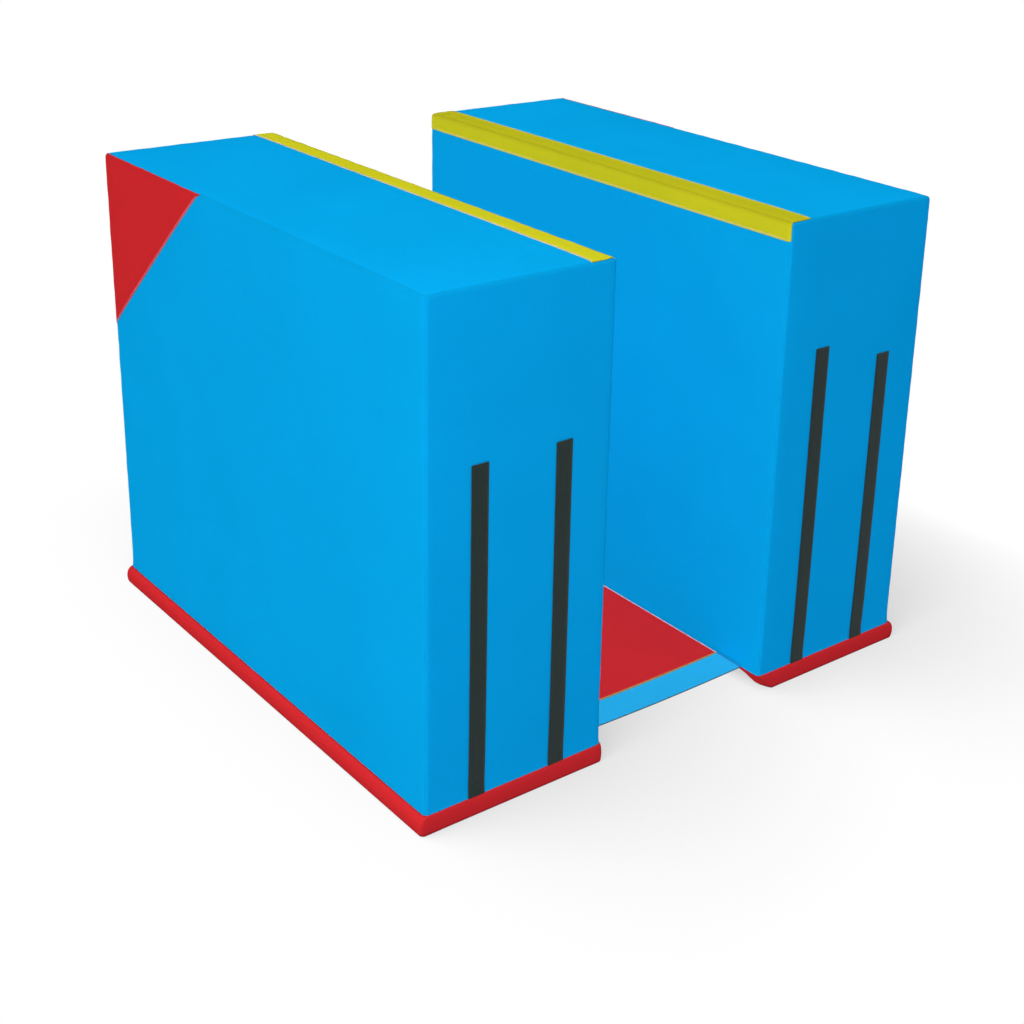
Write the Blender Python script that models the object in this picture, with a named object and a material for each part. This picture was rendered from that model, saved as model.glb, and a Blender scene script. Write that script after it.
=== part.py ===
"""A pair of tall foam gymnastics blocks, joined near the floor by a fabric flap.

Each block is a laminated foam core in a sewn cover of coated fabric, standing in a red base
cover whose firm pad bulges out as a rim. The two blocks mirror each other across the channel.
Units are metres, +Z is up, and the origin is on the floor midway between the blocks.
"""

import math
from collections import namedtuple

import bmesh
import bpy
from mathutils import Vector

# Overall sizes of the blocks and of the channel between them
BLOCK_WIDTH = 0.400
BLOCK_LENGTH = 1.200
BLOCK_HEIGHT = 1.000
BLOCK_GAP = 0.420

# Sewn cover: rounded edges, and a foot that flares out to meet the rim
EDGE_RADIUS = 0.018
COVER_THICKNESS = 0.002
FLARE = 0.003
FLARE_HEIGHT = 0.020

# Red base cover with its bulging rim
RIM_HEIGHT = 0.039
RIM_BULGE = 0.014
RIM_FOOT = 0.008
RIM_WIDEST_AT = 0.018
RIM_CORNER = 0.008
# Share of the bulge that is left beside the channel, where the flap pulls the rim flat
RIM_INNER_SHARE = 0.15
BASE_THICKNESS = 0.002

# Foam slabs, with the upper one taking the height that is left
LOWER_SLAB_HEIGHT = 0.320
MIDDLE_SLAB_HEIGHT = 0.320

# Yellow stripe folded over the inner top edge
STRIPE_ON_TOP = 0.050
STRIPE_ON_SIDE = 0.050
STRIPE_THICKNESS = 0.001

# Red triangular patch in the outer face's top rear corner
PATCH_ALONG_TOP = 0.430
PATCH_DOWN_EDGE = 0.380
PATCH_THICKNESS = 0.001

# Hook-and-loop strips on both end faces, up from the seam above the rim
STRIP_WIDTH = 0.035
STRIP_LENGTH = 0.650
# One strip is longer than the others
LONG_STRIP = "right_front_strip_inner"
LONG_STRIP_LENGTH = 0.695
STRIP_SPACING = 0.180
STRIP_THICKNESS = 0.002

# Zip in the rear end face
ZIP_SLOT_WIDTH = 0.014
ZIP_SLOT_ABOVE_RIM = 0.050
ZIP_SLOT_BELOW_TOP = 0.061
TAPE_WIDTH = 0.016
TAPE_THICKNESS = 0.0008
TAPE_SPLIT = 0.001
TAPE_OVERRUN = 0.006
TEETH_WIDTH = 0.008
TEETH_THICKNESS = 0.0025
TEETH_ROUND = 0.0006
STOP_LENGTH = 0.005
STOP_WIDTH = 0.012
STOP_THICKNESS = 0.003
STOP_ROUND = 0.0005
SLIDER_LENGTH = 0.024
SLIDER_WALL = 0.0016
SLIDER_ROUND = 0.0004
LUG_WIDTH = 0.0036
LUG_LENGTH = 0.010
LUG_WALL = 0.0016
PULLER_LENGTH = 0.040
PULLER_ARM = 0.0024
PULLER_THICKNESS = 0.002
PULLER_CORNER = 0.0036

# Flap between the blocks
FLAP_THICKNESS = 0.003
FLAP_SETBACK = 0.047
FLAP_BAND = 0.072

# Clearances: between pieces that touch, and round the ones that slide or turn
FIT_GAP = 0.0003
RUN_GAP = 0.0004

# Steps in each half of a rounded edge, in the foot's flare and in each half of the rim's bulge
FILLET_STEPS = 4
FLARE_STEPS = 3
RIM_STEPS = 5

# Distance under which meeting points are made one, and angle over which an edge is shaded sharp
WELD = 0.00001
SHARP_ANGLE = math.radians(40)

# Values that follow from the ones above
SEAM_ANGLE = math.pi / 4
INSET = COVER_THICKNESS + FIT_GAP
COVER_FOOT = RIM_HEIGHT + FIT_GAP
BLOCK_CENTRE = (BLOCK_GAP + BLOCK_WIDTH) / 2
REAR_FACE = BLOCK_LENGTH / 2
ZIP_FOOT = RIM_HEIGHT + ZIP_SLOT_ABOVE_RIM
ZIP_HEAD = BLOCK_HEIGHT - ZIP_SLOT_BELOW_TOP

# A place on a cover panel along one axis: where the centre of its rounding lies, the slope of
# its outward direction along that axis, and how far it stands proud of the nominal face
Station = namedtuple("Station", "centre slope proud")
# A level of a solid that follows a block's plan: how far it stands out from the plan on three
# sides, and on the channel's side, and its height and the radius of its corners
Level = namedtuple("Level", "offset inner_offset height radius")
Finish = namedtuple("Finish", "colour roughness metallic")

BLUE_VINYL = Finish((0.003, 0.381, 0.791), 0.38, 0.0)
RED_VINYL = Finish((0.584, 0.023, 0.025), 0.40, 0.0)
YELLOW_VINYL = Finish((0.604, 0.597, 0.016), 0.40, 0.0)
LIGHT_BLUE_VINYL = Finish((0.023, 0.397, 0.760), 0.38, 0.0)
SOFT_FOAM = Finish((0.791, 0.745, 0.558), 0.95, 0.0)
FIRM_FOAM = Finish((0.067, 0.072, 0.080), 0.90, 0.0)
HOOK_AND_LOOP = Finish((0.023, 0.033, 0.027), 0.95, 0.0)
ZIP_TAPE = Finish((0.012, 0.012, 0.013), 0.85, 0.0)
ZIP_TEETH = Finish((0.016, 0.016, 0.018), 0.45, 0.0)
ZIP_METAL = Finish((0.262, 0.262, 0.271), 0.35, 1.0)


def clear_scene():
    """Remove every object of the open scene."""
    for obj in list(bpy.data.objects):
        bpy.data.objects.remove(obj, do_unlink=True)


def make_material(name, finish):
    """A Principled BSDF material with one finish's colour, roughness and metallic value."""
    material = bpy.data.materials.new(name)
    material.use_nodes = True
    shader = material.node_tree.nodes["Principled BSDF"]
    shader.inputs["Base Color"].default_value = (*finish.colour, 1.0)
    shader.inputs["Roughness"].default_value = finish.roughness
    shader.inputs["Metallic"].default_value = finish.metallic
    return material


def add_axis(name, location, parent=None):
    """An empty at a place in the world, from which pieces hang."""
    empty = bpy.data.objects.new(name, None)
    bpy.context.scene.collection.objects.link(empty)
    attach(empty, location, parent)
    return empty


def attach(obj, location, parent):
    """Parent an object and put its origin at a place in the world; nothing here is turned."""
    obj.parent = parent
    held_at = world_place(parent) if parent else Vector((0.0, 0.0, 0.0))
    obj.location = Vector(location) - held_at


def world_place(obj):
    """Where an object's origin is in the world, from the chain of its parents."""
    place = obj.location.copy()
    while obj.parent:
        obj = obj.parent
        place += obj.location
    return place


def add_piece(name, bm, finish, location, parent):
    """Turn a bmesh into a named object with its own material, its mesh measured from location."""
    bmesh.ops.remove_doubles(bm, verts=bm.verts[:], dist=WELD)
    bmesh.ops.recalc_face_normals(bm, faces=bm.faces[:])
    mesh = bpy.data.meshes.new(name)
    bm.to_mesh(mesh)
    bm.free()
    mesh.shade_smooth()
    mesh.set_sharp_from_angle(angle=SHARP_ANGLE)
    obj = bpy.data.objects.new(name, mesh)
    bpy.context.scene.collection.objects.link(obj)
    obj.data.materials.append(make_material(f"{name}_finish", finish))
    attach(obj, location, parent)
    return obj


def combine(target, tool, operation):
    """Cut a tool from its target, or join it on, with an exact Boolean."""
    tool.hide_render = True
    tool.display_type = "WIRE"
    boolean = target.modifiers.new(f"{operation.lower()}_{tool.name}", "BOOLEAN")
    boolean.operation = operation
    boolean.solver = "EXACT"
    boolean.object = tool


def box_mesh(low, high, rounding=0.0):
    """A box between two corners, with its edges rounded where a rounding is given."""
    bm = bmesh.new()
    bmesh.ops.create_cube(bm, size=1.0)
    low, high = Vector(low), Vector(high)
    bmesh.ops.scale(bm, vec=high - low, verts=bm.verts)
    bmesh.ops.translate(bm, vec=(low + high) / 2, verts=bm.verts)
    if rounding:
        bmesh.ops.bevel(bm, geom=bm.edges[:], offset=rounding, segments=2, profile=0.5, affect="EDGES")
    return bm


def quads_between(bm, first, second):
    """Join two closed rings of as many points with a band of faces."""
    for index in range(len(first)):
        after = (index + 1) % len(first)
        bm.faces.new((first[index], first[after], second[after], second[index]))


def plan_ring(bm, level):
    """A ring round a block's plan at one level, with rounded corners."""
    outer_x = BLOCK_WIDTH / 2 + level.offset - level.radius
    inner_x = BLOCK_WIDTH / 2 + level.inner_offset - level.radius
    half_y = BLOCK_LENGTH / 2 + level.offset - level.radius
    corners = ((outer_x, half_y), (-inner_x, half_y), (-inner_x, -half_y), (outer_x, -half_y))
    ring = []
    for quarter, (centre_x, centre_y) in enumerate(corners):
        for step in range(2 * FILLET_STEPS + 1):
            angle = math.pi / 2 * (quarter + step / (2 * FILLET_STEPS))
            x = centre_x + level.radius * math.cos(angle)
            y = centre_y + level.radius * math.sin(angle)
            ring.append(bm.verts.new((x, y, level.height)))
    return ring


def lofted(levels):
    """A solid through plan rings at each level, closed at its first and last ring."""
    bm = bmesh.new()
    rings = [plan_ring(bm, level) for level in levels]
    for first, second in zip(rings, rings[1:]):
        quads_between(bm, first, second)
    bm.faces.new(rings[0])
    bm.faces.new(rings[-1])
    return bm


def shell_mesh(rows, columns, place, left_out=()):
    """A closed shell over a grid: place(row, column, outer) gives a point of either side.

    Cells named in left_out, as (row, column), stay open and get walls like the outer border.
    """
    bm = bmesh.new()
    sides = {}
    for outer in (True, False):
        for row in range(rows):
            for column in range(columns):
                sides[outer, row, column] = bm.verts.new(place(row, column, outer))
    borders = {}
    for row in range(rows - 1):
        for column in range(columns - 1):
            if (row, column) in left_out:
                continue
            corners = [(row, column), (row, column + 1), (row + 1, column + 1), (row + 1, column)]
            bm.faces.new([sides[True, r, c] for r, c in corners])
            bm.faces.new([sides[False, r, c] for r, c in reversed(corners)])
            for start, end in zip(corners, corners[1:] + corners[:1]):
                if borders.pop((end, start), None) is None:
                    borders[start, end] = True
    for start, end in borders:
        bm.faces.new(
            (sides[True, *end], sides[True, *start], sides[False, *start], sides[False, *end])
        )
    return bm


def mirrored(bm, side):
    """Flip a mesh built for the right block, outward along +X, where the left one needs it."""
    bmesh.ops.scale(bm, vec=(side, 1.0, 1.0), verts=bm.verts)
    return bm


def seam_slopes():
    """Slopes from a face's own direction round to its seam, half a gap short of the corner."""
    reach = SEAM_ANGLE - FIT_GAP / 2 / EDGE_RADIUS
    return [math.tan(reach * step / FILLET_STEPS) for step in range(FILLET_STEPS + 1)]


def across_stations(length, cuts=()):
    """Stations across a face from seam to seam, with extra ones on its flat part at cuts."""
    centre = length / 2 - EDGE_RADIUS
    slopes = seam_slopes()
    stations = [Station(-centre, -slope, 0.0) for slope in reversed(slopes)]
    stations += [Station(cut, 0.0, 0.0) for cut in cuts]
    return stations + [Station(centre, slope, 0.0) for slope in slopes]


def flare_levels(foot):
    """(offset, height) up the foot's flare, which dies away into the upright side."""
    shares = [step / FLARE_STEPS for step in range(FLARE_STEPS + 1)]
    return [(FLARE * (1 - share) ** 2, foot + FLARE_HEIGHT * share) for share in shares]


def upward_stations(cuts=()):
    """Stations up a side of the cover, from its flared foot to the seam with the top panel."""
    stations = [Station(height, 0.0, offset) for offset, height in flare_levels(COVER_FOOT)]
    stations += [Station(cut, 0.0, 0.0) for cut in cuts]
    centre = BLOCK_HEIGHT - EDGE_RADIUS
    return stations + [Station(centre, slope, 0.0) for slope in seam_slopes()]


def on_cover(centre, direction, out):
    """A point of the cover's rounded box, a distance out from its nominal surface."""
    return Vector(centre) + Vector(direction).normalized() * (EDGE_RADIUS + out)


def side_panel(direction):
    """A long side of the cover, facing along X in the given direction."""
    across = across_stations(BLOCK_LENGTH)
    upward = upward_stations()
    centre_x = direction * (BLOCK_WIDTH / 2 - EDGE_RADIUS)

    def place(row, column, outer):
        up, along = upward[row], across[column]
        out = up.proud - (0.0 if outer else COVER_THICKNESS)
        centre = (centre_x, along.centre, up.centre)
        return on_cover(centre, (direction, along.slope, up.slope), out)

    return shell_mesh(len(upward), len(across), place)


def end_panel(direction, slotted):
    """An end of the cover, facing along Y in the given direction, slotted for the zip or plain."""
    half_slot = ZIP_SLOT_WIDTH / 2
    across = across_stations(BLOCK_WIDTH, (-half_slot, half_slot) if slotted else ())
    upward = upward_stations((ZIP_FOOT, ZIP_HEAD) if slotted else ())
    centre_y = direction * (BLOCK_LENGTH / 2 - EDGE_RADIUS)
    slot_cell = (FLARE_STEPS + 1, FILLET_STEPS + 1)

    def place(row, column, outer):
        up, along = upward[row], across[column]
        out = up.proud - (0.0 if outer else COVER_THICKNESS)
        centre = (along.centre, centre_y, up.centre)
        return on_cover(centre, (along.slope, direction, up.slope), out)

    return shell_mesh(len(upward), len(across), place, (slot_cell,) if slotted else ())


def top_panel():
    """The top of the cover, round to its four seams."""
    lengthwise = across_stations(BLOCK_LENGTH)
    across = across_stations(BLOCK_WIDTH)
    centre_z = BLOCK_HEIGHT - EDGE_RADIUS

    def place(row, column, outer):
        long, wide = lengthwise[row], across[column]
        out = 0.0 if outer else -COVER_THICKNESS
        return on_cover((wide.centre, long.centre, centre_z), (wide.slope, long.slope, 1.0), out)

    return shell_mesh(len(lengthwise), len(across), place)


def edge_stripe():
    """The yellow stripe, from the top round the inner edge and down the side, seam to seam."""
    lengthwise = across_stations(BLOCK_LENGTH)
    edge_x = -BLOCK_WIDTH / 2
    edge_z = BLOCK_HEIGHT
    round_x = edge_x + EDGE_RADIUS
    round_z = edge_z - EDGE_RADIUS
    profile = [(edge_x + STRIPE_ON_TOP, round_z, 0.0, 1.0)]
    for step in range(2 * FILLET_STEPS + 1):
        angle = SEAM_ANGLE * step / FILLET_STEPS
        reach = max(math.sin(angle), math.cos(angle))
        profile.append((round_x, round_z, -math.sin(angle) / reach, math.cos(angle) / reach))
    profile.append((round_x, edge_z - STRIPE_ON_SIDE, -1.0, 0.0))

    def place(row, column, outer):
        long = lengthwise[row]
        centre_x, centre_z, out_x, out_z = profile[column]
        out = FIT_GAP + (STRIPE_THICKNESS if outer else 0.0)
        return on_cover((centre_x, long.centre, centre_z), (out_x, long.slope, out_z), out)

    return shell_mesh(len(lengthwise), len(profile), place)


def corner_patch():
    """The red patch on the outer face: a corner of the panel, cut off along a diagonal."""
    slopes = seam_slopes()
    centre_x = BLOCK_WIDTH / 2 - EDGE_RADIUS
    low_y = BLOCK_LENGTH / 2 - PATCH_ALONG_TOP
    low_z = BLOCK_HEIGHT - PATCH_DOWN_EDGE
    along = [Station(low_y, 0.0, 0.0)]
    along += [Station(BLOCK_LENGTH / 2 - EDGE_RADIUS, slope, 0.0) for slope in slopes]
    upward = [Station(low_z, 0.0, 0.0)]
    upward += [Station(BLOCK_HEIGHT - EDGE_RADIUS, slope, 0.0) for slope in slopes]

    def place(row, column, outer):
        up, long = upward[row], along[column]
        out = FIT_GAP + (PATCH_THICKNESS if outer else 0.0)
        return on_cover((centre_x, long.centre, up.centre), (1.0, long.slope, up.slope), out)

    bm = shell_mesh(len(upward), len(along), place)
    cut = bmesh.ops.bisect_plane(
        bm,
        geom=bm.verts[:] + bm.edges[:] + bm.faces[:],
        plane_co=(0.0, low_y, BLOCK_HEIGHT),
        plane_no=(0.0, -PATCH_DOWN_EDGE, -PATCH_ALONG_TOP),
        clear_outer=True,
    )
    rim = [item for item in cut["geom_cut"] if isinstance(item, bmesh.types.BMEdge)]
    bmesh.ops.contextual_create(bm, geom=rim)
    return bm


def base_cover():
    """The red tray: up the bulging outside, over its lip and down the inside."""
    outside = rim_profile(0.0)
    inside = rim_profile(BASE_THICKNESS)
    return lofted(outside + [rim_level(FLARE, RIM_HEIGHT, BASE_THICKNESS)] + inside[::-1])


def rim_level(swell, height, inset):
    """A level of the rim where it swells out this far, moved in by an inset on every side."""
    inner_swell = FLARE + (swell - FLARE) * RIM_INNER_SHARE
    return Level(swell - inset, inner_swell - inset, height, RIM_CORNER - inset)


def rim_profile(inset):
    """Levels up the rim's bulge, from the floor to the lip, moved in by an inset."""
    top = RIM_HEIGHT - inset
    levels = []
    for step in range(RIM_STEPS + 1):
        angle = math.pi / 2 * step / RIM_STEPS
        swell = RIM_FOOT + (RIM_BULGE - RIM_FOOT) * math.sin(angle)
        height = RIM_WIDEST_AT - (RIM_WIDEST_AT - inset) * math.cos(angle)
        levels.append(rim_level(swell, height, inset))
    for step in range(1, RIM_STEPS + 1):
        angle = math.pi / 2 * step / RIM_STEPS
        swell = FLARE + (RIM_BULGE - FLARE) * math.cos(angle)
        height = RIM_WIDEST_AT + (top - RIM_WIDEST_AT) * math.sin(angle)
        levels.append(rim_level(swell, height, inset))
    return levels


def base_pad():
    """The firm foam pad that fills the tray, up to the underside of the core."""
    inset = BASE_THICKNESS + FIT_GAP
    return lofted(rim_profile(inset) + [rim_level(FLARE, RIM_HEIGHT - FIT_GAP, inset)])


def slab_level(offset, height):
    """A level of a foam slab, its corners rounded to match the cover's at that offset."""
    return Level(offset, offset, height, EDGE_RADIUS + offset)


def lower_slab():
    """The lowest slab of the core, flared at its foot like the cover round it."""
    levels = [slab_level(offset - INSET, height) for offset, height in flare_levels(RIM_HEIGHT)]
    return lofted(levels + [slab_level(-INSET, RIM_HEIGHT + LOWER_SLAB_HEIGHT)])


def middle_slab():
    """The middle slab of the core."""
    foot = RIM_HEIGHT + LOWER_SLAB_HEIGHT + FIT_GAP
    head = foot + MIDDLE_SLAB_HEIGHT
    return lofted([slab_level(-INSET, foot), slab_level(-INSET, head)])


def upper_slab():
    """The top slab of the core, with its upper edges rounded under the cover."""
    foot = RIM_HEIGHT + LOWER_SLAB_HEIGHT + MIDDLE_SLAB_HEIGHT + 2 * FIT_GAP
    radius = EDGE_RADIUS - INSET
    levels = [slab_level(-INSET, foot)]
    for step in range(2 * FILLET_STEPS + 1):
        angle = SEAM_ANGLE * step / FILLET_STEPS
        offset = -INSET - radius * (1 - math.cos(angle))
        height = BLOCK_HEIGHT - EDGE_RADIUS + radius * math.sin(angle)
        levels.append(slab_level(offset, height))
    return lofted(levels)


def tape_depths():
    """The zip tapes' inner and outer faces along Y, just under the rear panel."""
    outer = REAR_FACE - COVER_THICKNESS - FIT_GAP
    return outer - TAPE_THICKNESS, outer


def tape_span():
    """The zip tapes' lower and upper ends, a little past the slot."""
    return ZIP_FOOT - TAPE_OVERRUN, ZIP_HEAD + TAPE_OVERRUN


def teeth_depths():
    """The teeth's inner and outer faces along Y, standing on the tapes."""
    inner = REAR_FACE - COVER_THICKNESS
    return inner, inner + TEETH_THICKNESS


def teeth_span():
    """The teeth's lower and upper ends, which leave room for the stops inside the slot."""
    margin = STOP_LENGTH + 2 * FIT_GAP
    return ZIP_FOOT + margin, ZIP_HEAD - margin


def zip_recess():
    """The hollow that the tapes press into the foam behind the slot."""
    inner, _ = tape_depths()
    low, high = tape_span()
    half = TAPE_SPLIT / 2 + TAPE_WIDTH + FIT_GAP
    past_the_face = REAR_FACE + EDGE_RADIUS
    return box_mesh(
        (-half, inner - FIT_GAP, low - FIT_GAP), (half, past_the_face, high + FIT_GAP)
    )


def zip_tape(direction):
    """One of the two tapes, on the given side of the teeth."""
    inner, outer = tape_depths()
    low, high = tape_span()
    near = direction * TAPE_SPLIT / 2
    far = near + direction * TAPE_WIDTH
    return box_mesh((min(near, far), inner, low), (max(near, far), outer, high))


def zip_teeth():
    """The closed row of teeth as one bar."""
    inner, outer = teeth_depths()
    low, high = teeth_span()
    half = TEETH_WIDTH / 2
    return box_mesh((-half, inner, low), (half, outer, high), TEETH_ROUND)


def zip_stop(low):
    """A metal stop across the tapes, from the given height up."""
    inner = REAR_FACE - COVER_THICKNESS
    half = STOP_WIDTH / 2
    corners = (-half, inner, low), (half, inner + STOP_THICKNESS, low + STOP_LENGTH)
    return box_mesh(*corners, STOP_ROUND)


def slider_top():
    """The outer face of the slider's plate along Y."""
    return teeth_depths()[1] + RUN_GAP + SLIDER_WALL


def slider_foot():
    """The height of the slider's lower end with the zip closed, just above its lower stop."""
    return teeth_span()[0] + RUN_GAP


def puller_axis():
    """Depth and height of the axis on which the puller swings, midway in the slider's lug."""
    return slider_top() + lug_opening() / 2, slider_foot() + SLIDER_LENGTH / 2


def lug_opening():
    """The lug's opening above the plate, which takes the puller's bar at any angle."""
    return PULLER_THICKNESS * math.sqrt(2) + 2 * RUN_GAP


def relative(bm, origin):
    """Measure a mesh from its object's origin instead of from the block's foot."""
    bmesh.ops.translate(bm, vec=-Vector(origin), verts=bm.verts)
    return bm


def slider_shapes(origin):
    """The slider's plate, and the lug, channel and lug opening to join on or cut out."""
    tape_face = tape_depths()[1]
    half_channel = TEETH_WIDTH / 2 + RUN_GAP
    half = half_channel + SLIDER_WALL
    foot = slider_foot()
    head = foot + SLIDER_LENGTH
    top = slider_top()
    middle = foot + SLIDER_LENGTH / 2
    crown = top + lug_opening() + LUG_WALL
    half_opening = LUG_LENGTH / 2 - LUG_WALL
    plate = box_mesh((-half, tape_face + RUN_GAP, foot), (half, top, head), SLIDER_ROUND)
    lug = box_mesh(
        (-LUG_WIDTH / 2, top - SLIDER_WALL / 2, middle - LUG_LENGTH / 2),
        (LUG_WIDTH / 2, crown, middle + LUG_LENGTH / 2),
    )
    channel = box_mesh(
        (-half_channel, tape_face - SLIDER_WALL, foot - SLIDER_WALL),
        (half_channel, top - SLIDER_WALL, head + SLIDER_WALL),
    )
    opening = box_mesh(
        (-LUG_WIDTH, top, middle - half_opening),
        (LUG_WIDTH, top + lug_opening(), middle + half_opening),
    )
    return [relative(bm, origin) for bm in (plate, lug, channel, opening)]


def puller_shapes(origin):
    """The puller's plate and the window in it that the lug's lower leg passes through."""
    axis_y, axis_z = puller_axis()
    half_window = LUG_WIDTH / 2 + RUN_GAP
    half = half_window + PULLER_ARM
    half_bar = PULLER_THICKNESS / 2
    reach = math.hypot(LUG_LENGTH / 2, lug_opening() / 2 + LUG_WALL)
    plate = box_mesh(
        (-half, axis_y - half_bar, axis_z - PULLER_LENGTH),
        (half, axis_y + half_bar, axis_z + half_bar),
    )
    round_lower_corners(plate, PULLER_CORNER)
    window = box_mesh(
        (-half_window, axis_y - PULLER_THICKNESS, axis_z - reach - RUN_GAP),
        (half_window, axis_y + PULLER_THICKNESS, axis_z - half_bar),
    )
    return [relative(bm, origin) for bm in (plate, window)]


def round_lower_corners(bm, radius):
    """Round the two lower corners of an upright plate that faces along Y."""
    foot = min(vert.co.z for vert in bm.verts)
    corners = [
        edge
        for edge in bm.edges
        if all(abs(vert.co.z - foot) < WELD for vert in edge.verts)
        and abs(edge.verts[0].co.x - edge.verts[1].co.x) < WELD
    ]
    bmesh.ops.bevel(
        bm, geom=corners, offset=radius, segments=2 * FILLET_STEPS, profile=0.5, affect="EDGES"
    )


def hook_strip(direction, sideways, length):
    """A hook-and-loop strip up an end face, from the seam above the rim and over the flare."""
    centre = sideways * STRIP_SPACING / 2
    levels = flare_levels(COVER_FOOT) + [(0.0, COVER_FOOT + length)]

    def place(row, column, outer):
        offset, height = levels[row]
        out = REAR_FACE + offset + FIT_GAP + (STRIP_THICKNESS if outer else 0.0)
        return centre + STRIP_WIDTH * (column - 0.5), direction * out, height

    return shell_mesh(len(levels), 2, place)


def build_core(name, side, base, parent):
    """The three foam slabs of one block, recessed behind the zip, and the pad below them."""
    slabs = {"lower": lower_slab(), "middle": middle_slab(), "upper": upper_slab()}
    recess = add_piece(f"{name}_zip_recess", zip_recess(), SOFT_FOAM, base, parent)
    for level, bm in slabs.items():
        slab = add_piece(f"{name}_core_{level}", mirrored(bm, side), SOFT_FOAM, base, parent)
        combine(slab, recess, "DIFFERENCE")
    add_piece(f"{name}_base_pad", mirrored(base_pad(), side), FIRM_FOAM, base, parent)


def build_cover(name, side, base, parent):
    """The base cover and the five panels of one block's sewn cover, with its coloured trim."""
    pieces = (
        ("base_cover", base_cover(), RED_VINYL),
        ("top_panel", top_panel(), BLUE_VINYL),
        ("outer_panel", side_panel(1.0), BLUE_VINYL),
        ("inner_panel", side_panel(-1.0), BLUE_VINYL),
        ("front_panel", end_panel(-1.0, False), BLUE_VINYL),
        ("rear_panel", end_panel(1.0, True), BLUE_VINYL),
        ("edge_stripe", edge_stripe(), YELLOW_VINYL),
        ("corner_patch", corner_patch(), RED_VINYL),
    )
    for piece, bm, finish in pieces:
        add_piece(f"{name}_{piece}", mirrored(bm, side), finish, base, parent)


def build_strips(name, side, base, parent):
    """The four hook-and-loop strips of one block, two on each end."""
    for end, direction in (("front", -1.0), ("rear", 1.0)):
        for place, sideways in (("outer", 1.0), ("inner", -1.0)):
            strip = f"{name}_{end}_strip_{place}"
            length = LONG_STRIP_LENGTH if strip == LONG_STRIP else STRIP_LENGTH
            bm = mirrored(hook_strip(direction, sideways, length), side)
            add_piece(strip, bm, HOOK_AND_LOOP, base, parent)


def build_zip(name, side, base, parent):
    """One block's zip: tapes, teeth and stops on the block, and the slider that runs on them."""
    low, high = teeth_span()
    pieces = (
        ("zip_tape_outer", zip_tape(1.0), ZIP_TAPE),
        ("zip_tape_inner", zip_tape(-1.0), ZIP_TAPE),
        ("zip_teeth", zip_teeth(), ZIP_TEETH),
        ("zip_bottom_stop", zip_stop(low - FIT_GAP - STOP_LENGTH), ZIP_METAL),
        ("zip_top_stop", zip_stop(high + FIT_GAP), ZIP_METAL),
    )
    for piece, bm, finish in pieces:
        add_piece(f"{name}_{piece}", mirrored(bm, side), finish, base, parent)
    build_slider(name, base, parent)


def build_slider(name, base, parent):
    """The slider with its lug, and the puller that swings on the lug."""
    runner = Vector((0.0, slider_top(), slider_foot()))
    plate, lug, channel, opening = slider_shapes(runner)
    slider = add_piece(f"{name}_zip_slider", plate, ZIP_METAL, base + runner, parent)
    tools = (
        ("lug", lug, "UNION"),
        ("channel", channel, "DIFFERENCE"),
        ("lug_opening", opening, "DIFFERENCE"),
    )
    for tool_name, bm, operation in tools:
        tool = add_piece(f"{name}_{tool_name}", bm, ZIP_METAL, base + runner, slider)
        combine(slider, tool, operation)
    swing = Vector((0.0, *puller_axis()))
    plate, window = puller_shapes(swing)
    puller = add_piece(f"{name}_zip_puller", plate, ZIP_METAL, base + swing, slider)
    tool = add_piece(f"{name}_puller_window", window, ZIP_METAL, base + swing, puller)
    combine(puller, tool, "DIFFERENCE")


def build_block(name, side, parent):
    """One whole block, standing with its foot's centre beside the channel."""
    base = Vector((side * BLOCK_CENTRE, 0.0, 0.0))
    build_core(name, side, base, parent)
    build_cover(name, side, base, parent)
    build_strips(name, side, base, parent)
    build_zip(name, side, base, parent)


def flap_seam():
    """How far each outer edge of the flap lies from the middle of the channel."""
    return BLOCK_GAP / 2 - FLARE - FIT_GAP


def flap_top():
    """The height of the flap's upper face, lying over the rims."""
    return COVER_FOOT + FLAP_THICKNESS


def build_flap_half(name, side, hinge, parent):
    """Half of the flap on one side of its fold: the red sheet and its two light blue bands."""
    front = -BLOCK_LENGTH / 2 + FLAP_SETBACK
    inner_front = front + FLAP_BAND
    spans = (
        ("sheet", inner_front + FIT_GAP, -inner_front - FIT_GAP, RED_VINYL),
        ("front_band", front, inner_front, LIGHT_BLUE_VINYL),
        ("rear_band", -inner_front, -front, LIGHT_BLUE_VINYL),
    )
    near = side * FIT_GAP / 2
    far = side * flap_seam()
    for piece, low_y, high_y, finish in spans:
        bm = box_mesh(
            (min(near, far), low_y, COVER_FOOT),
            (max(near, far), high_y, flap_top()),
        )
        add_piece(f"{name}_{piece}", relative(bm, hinge), finish, hinge, parent)


def build_object():
    """Both blocks and the flap, hung on the axes that they fold and slide along."""
    left_frame = add_axis("left_block_frame", (-BLOCK_CENTRE, 0.0, 0.0))
    left_seam = Vector((-flap_seam(), 0.0, flap_top()))
    fold = Vector((0.0, 0.0, COVER_FOOT))
    right_seam = Vector((flap_seam(), 0.0, flap_top()))
    left_axis = add_axis("left_seam_axis", left_seam, left_frame)
    fold_axis = add_axis("fold_axis", fold, left_axis)
    right_axis = add_axis("right_seam_axis", right_seam, fold_axis)
    build_block("left", -1.0, left_frame)
    build_flap_half("flap_left", -1.0, left_seam, left_axis)
    build_flap_half("flap_right", 1.0, fold, fold_axis)
    build_block("right", 1.0, right_axis)


def main():
    """Build the whole pair in an emptied scene."""
    clear_scene()
    build_object()


main()
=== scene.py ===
"""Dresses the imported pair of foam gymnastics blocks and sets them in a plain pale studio.

The frame gives the solids and the bodies they move with. This script builds the coated fabric,
foam, trim, thread, zips and flap that show in their place, and gives each a finish made of nodes.
Lengths are in metres, or in millimetres where a name ends in _mm, and +Z is up.
"""

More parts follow.
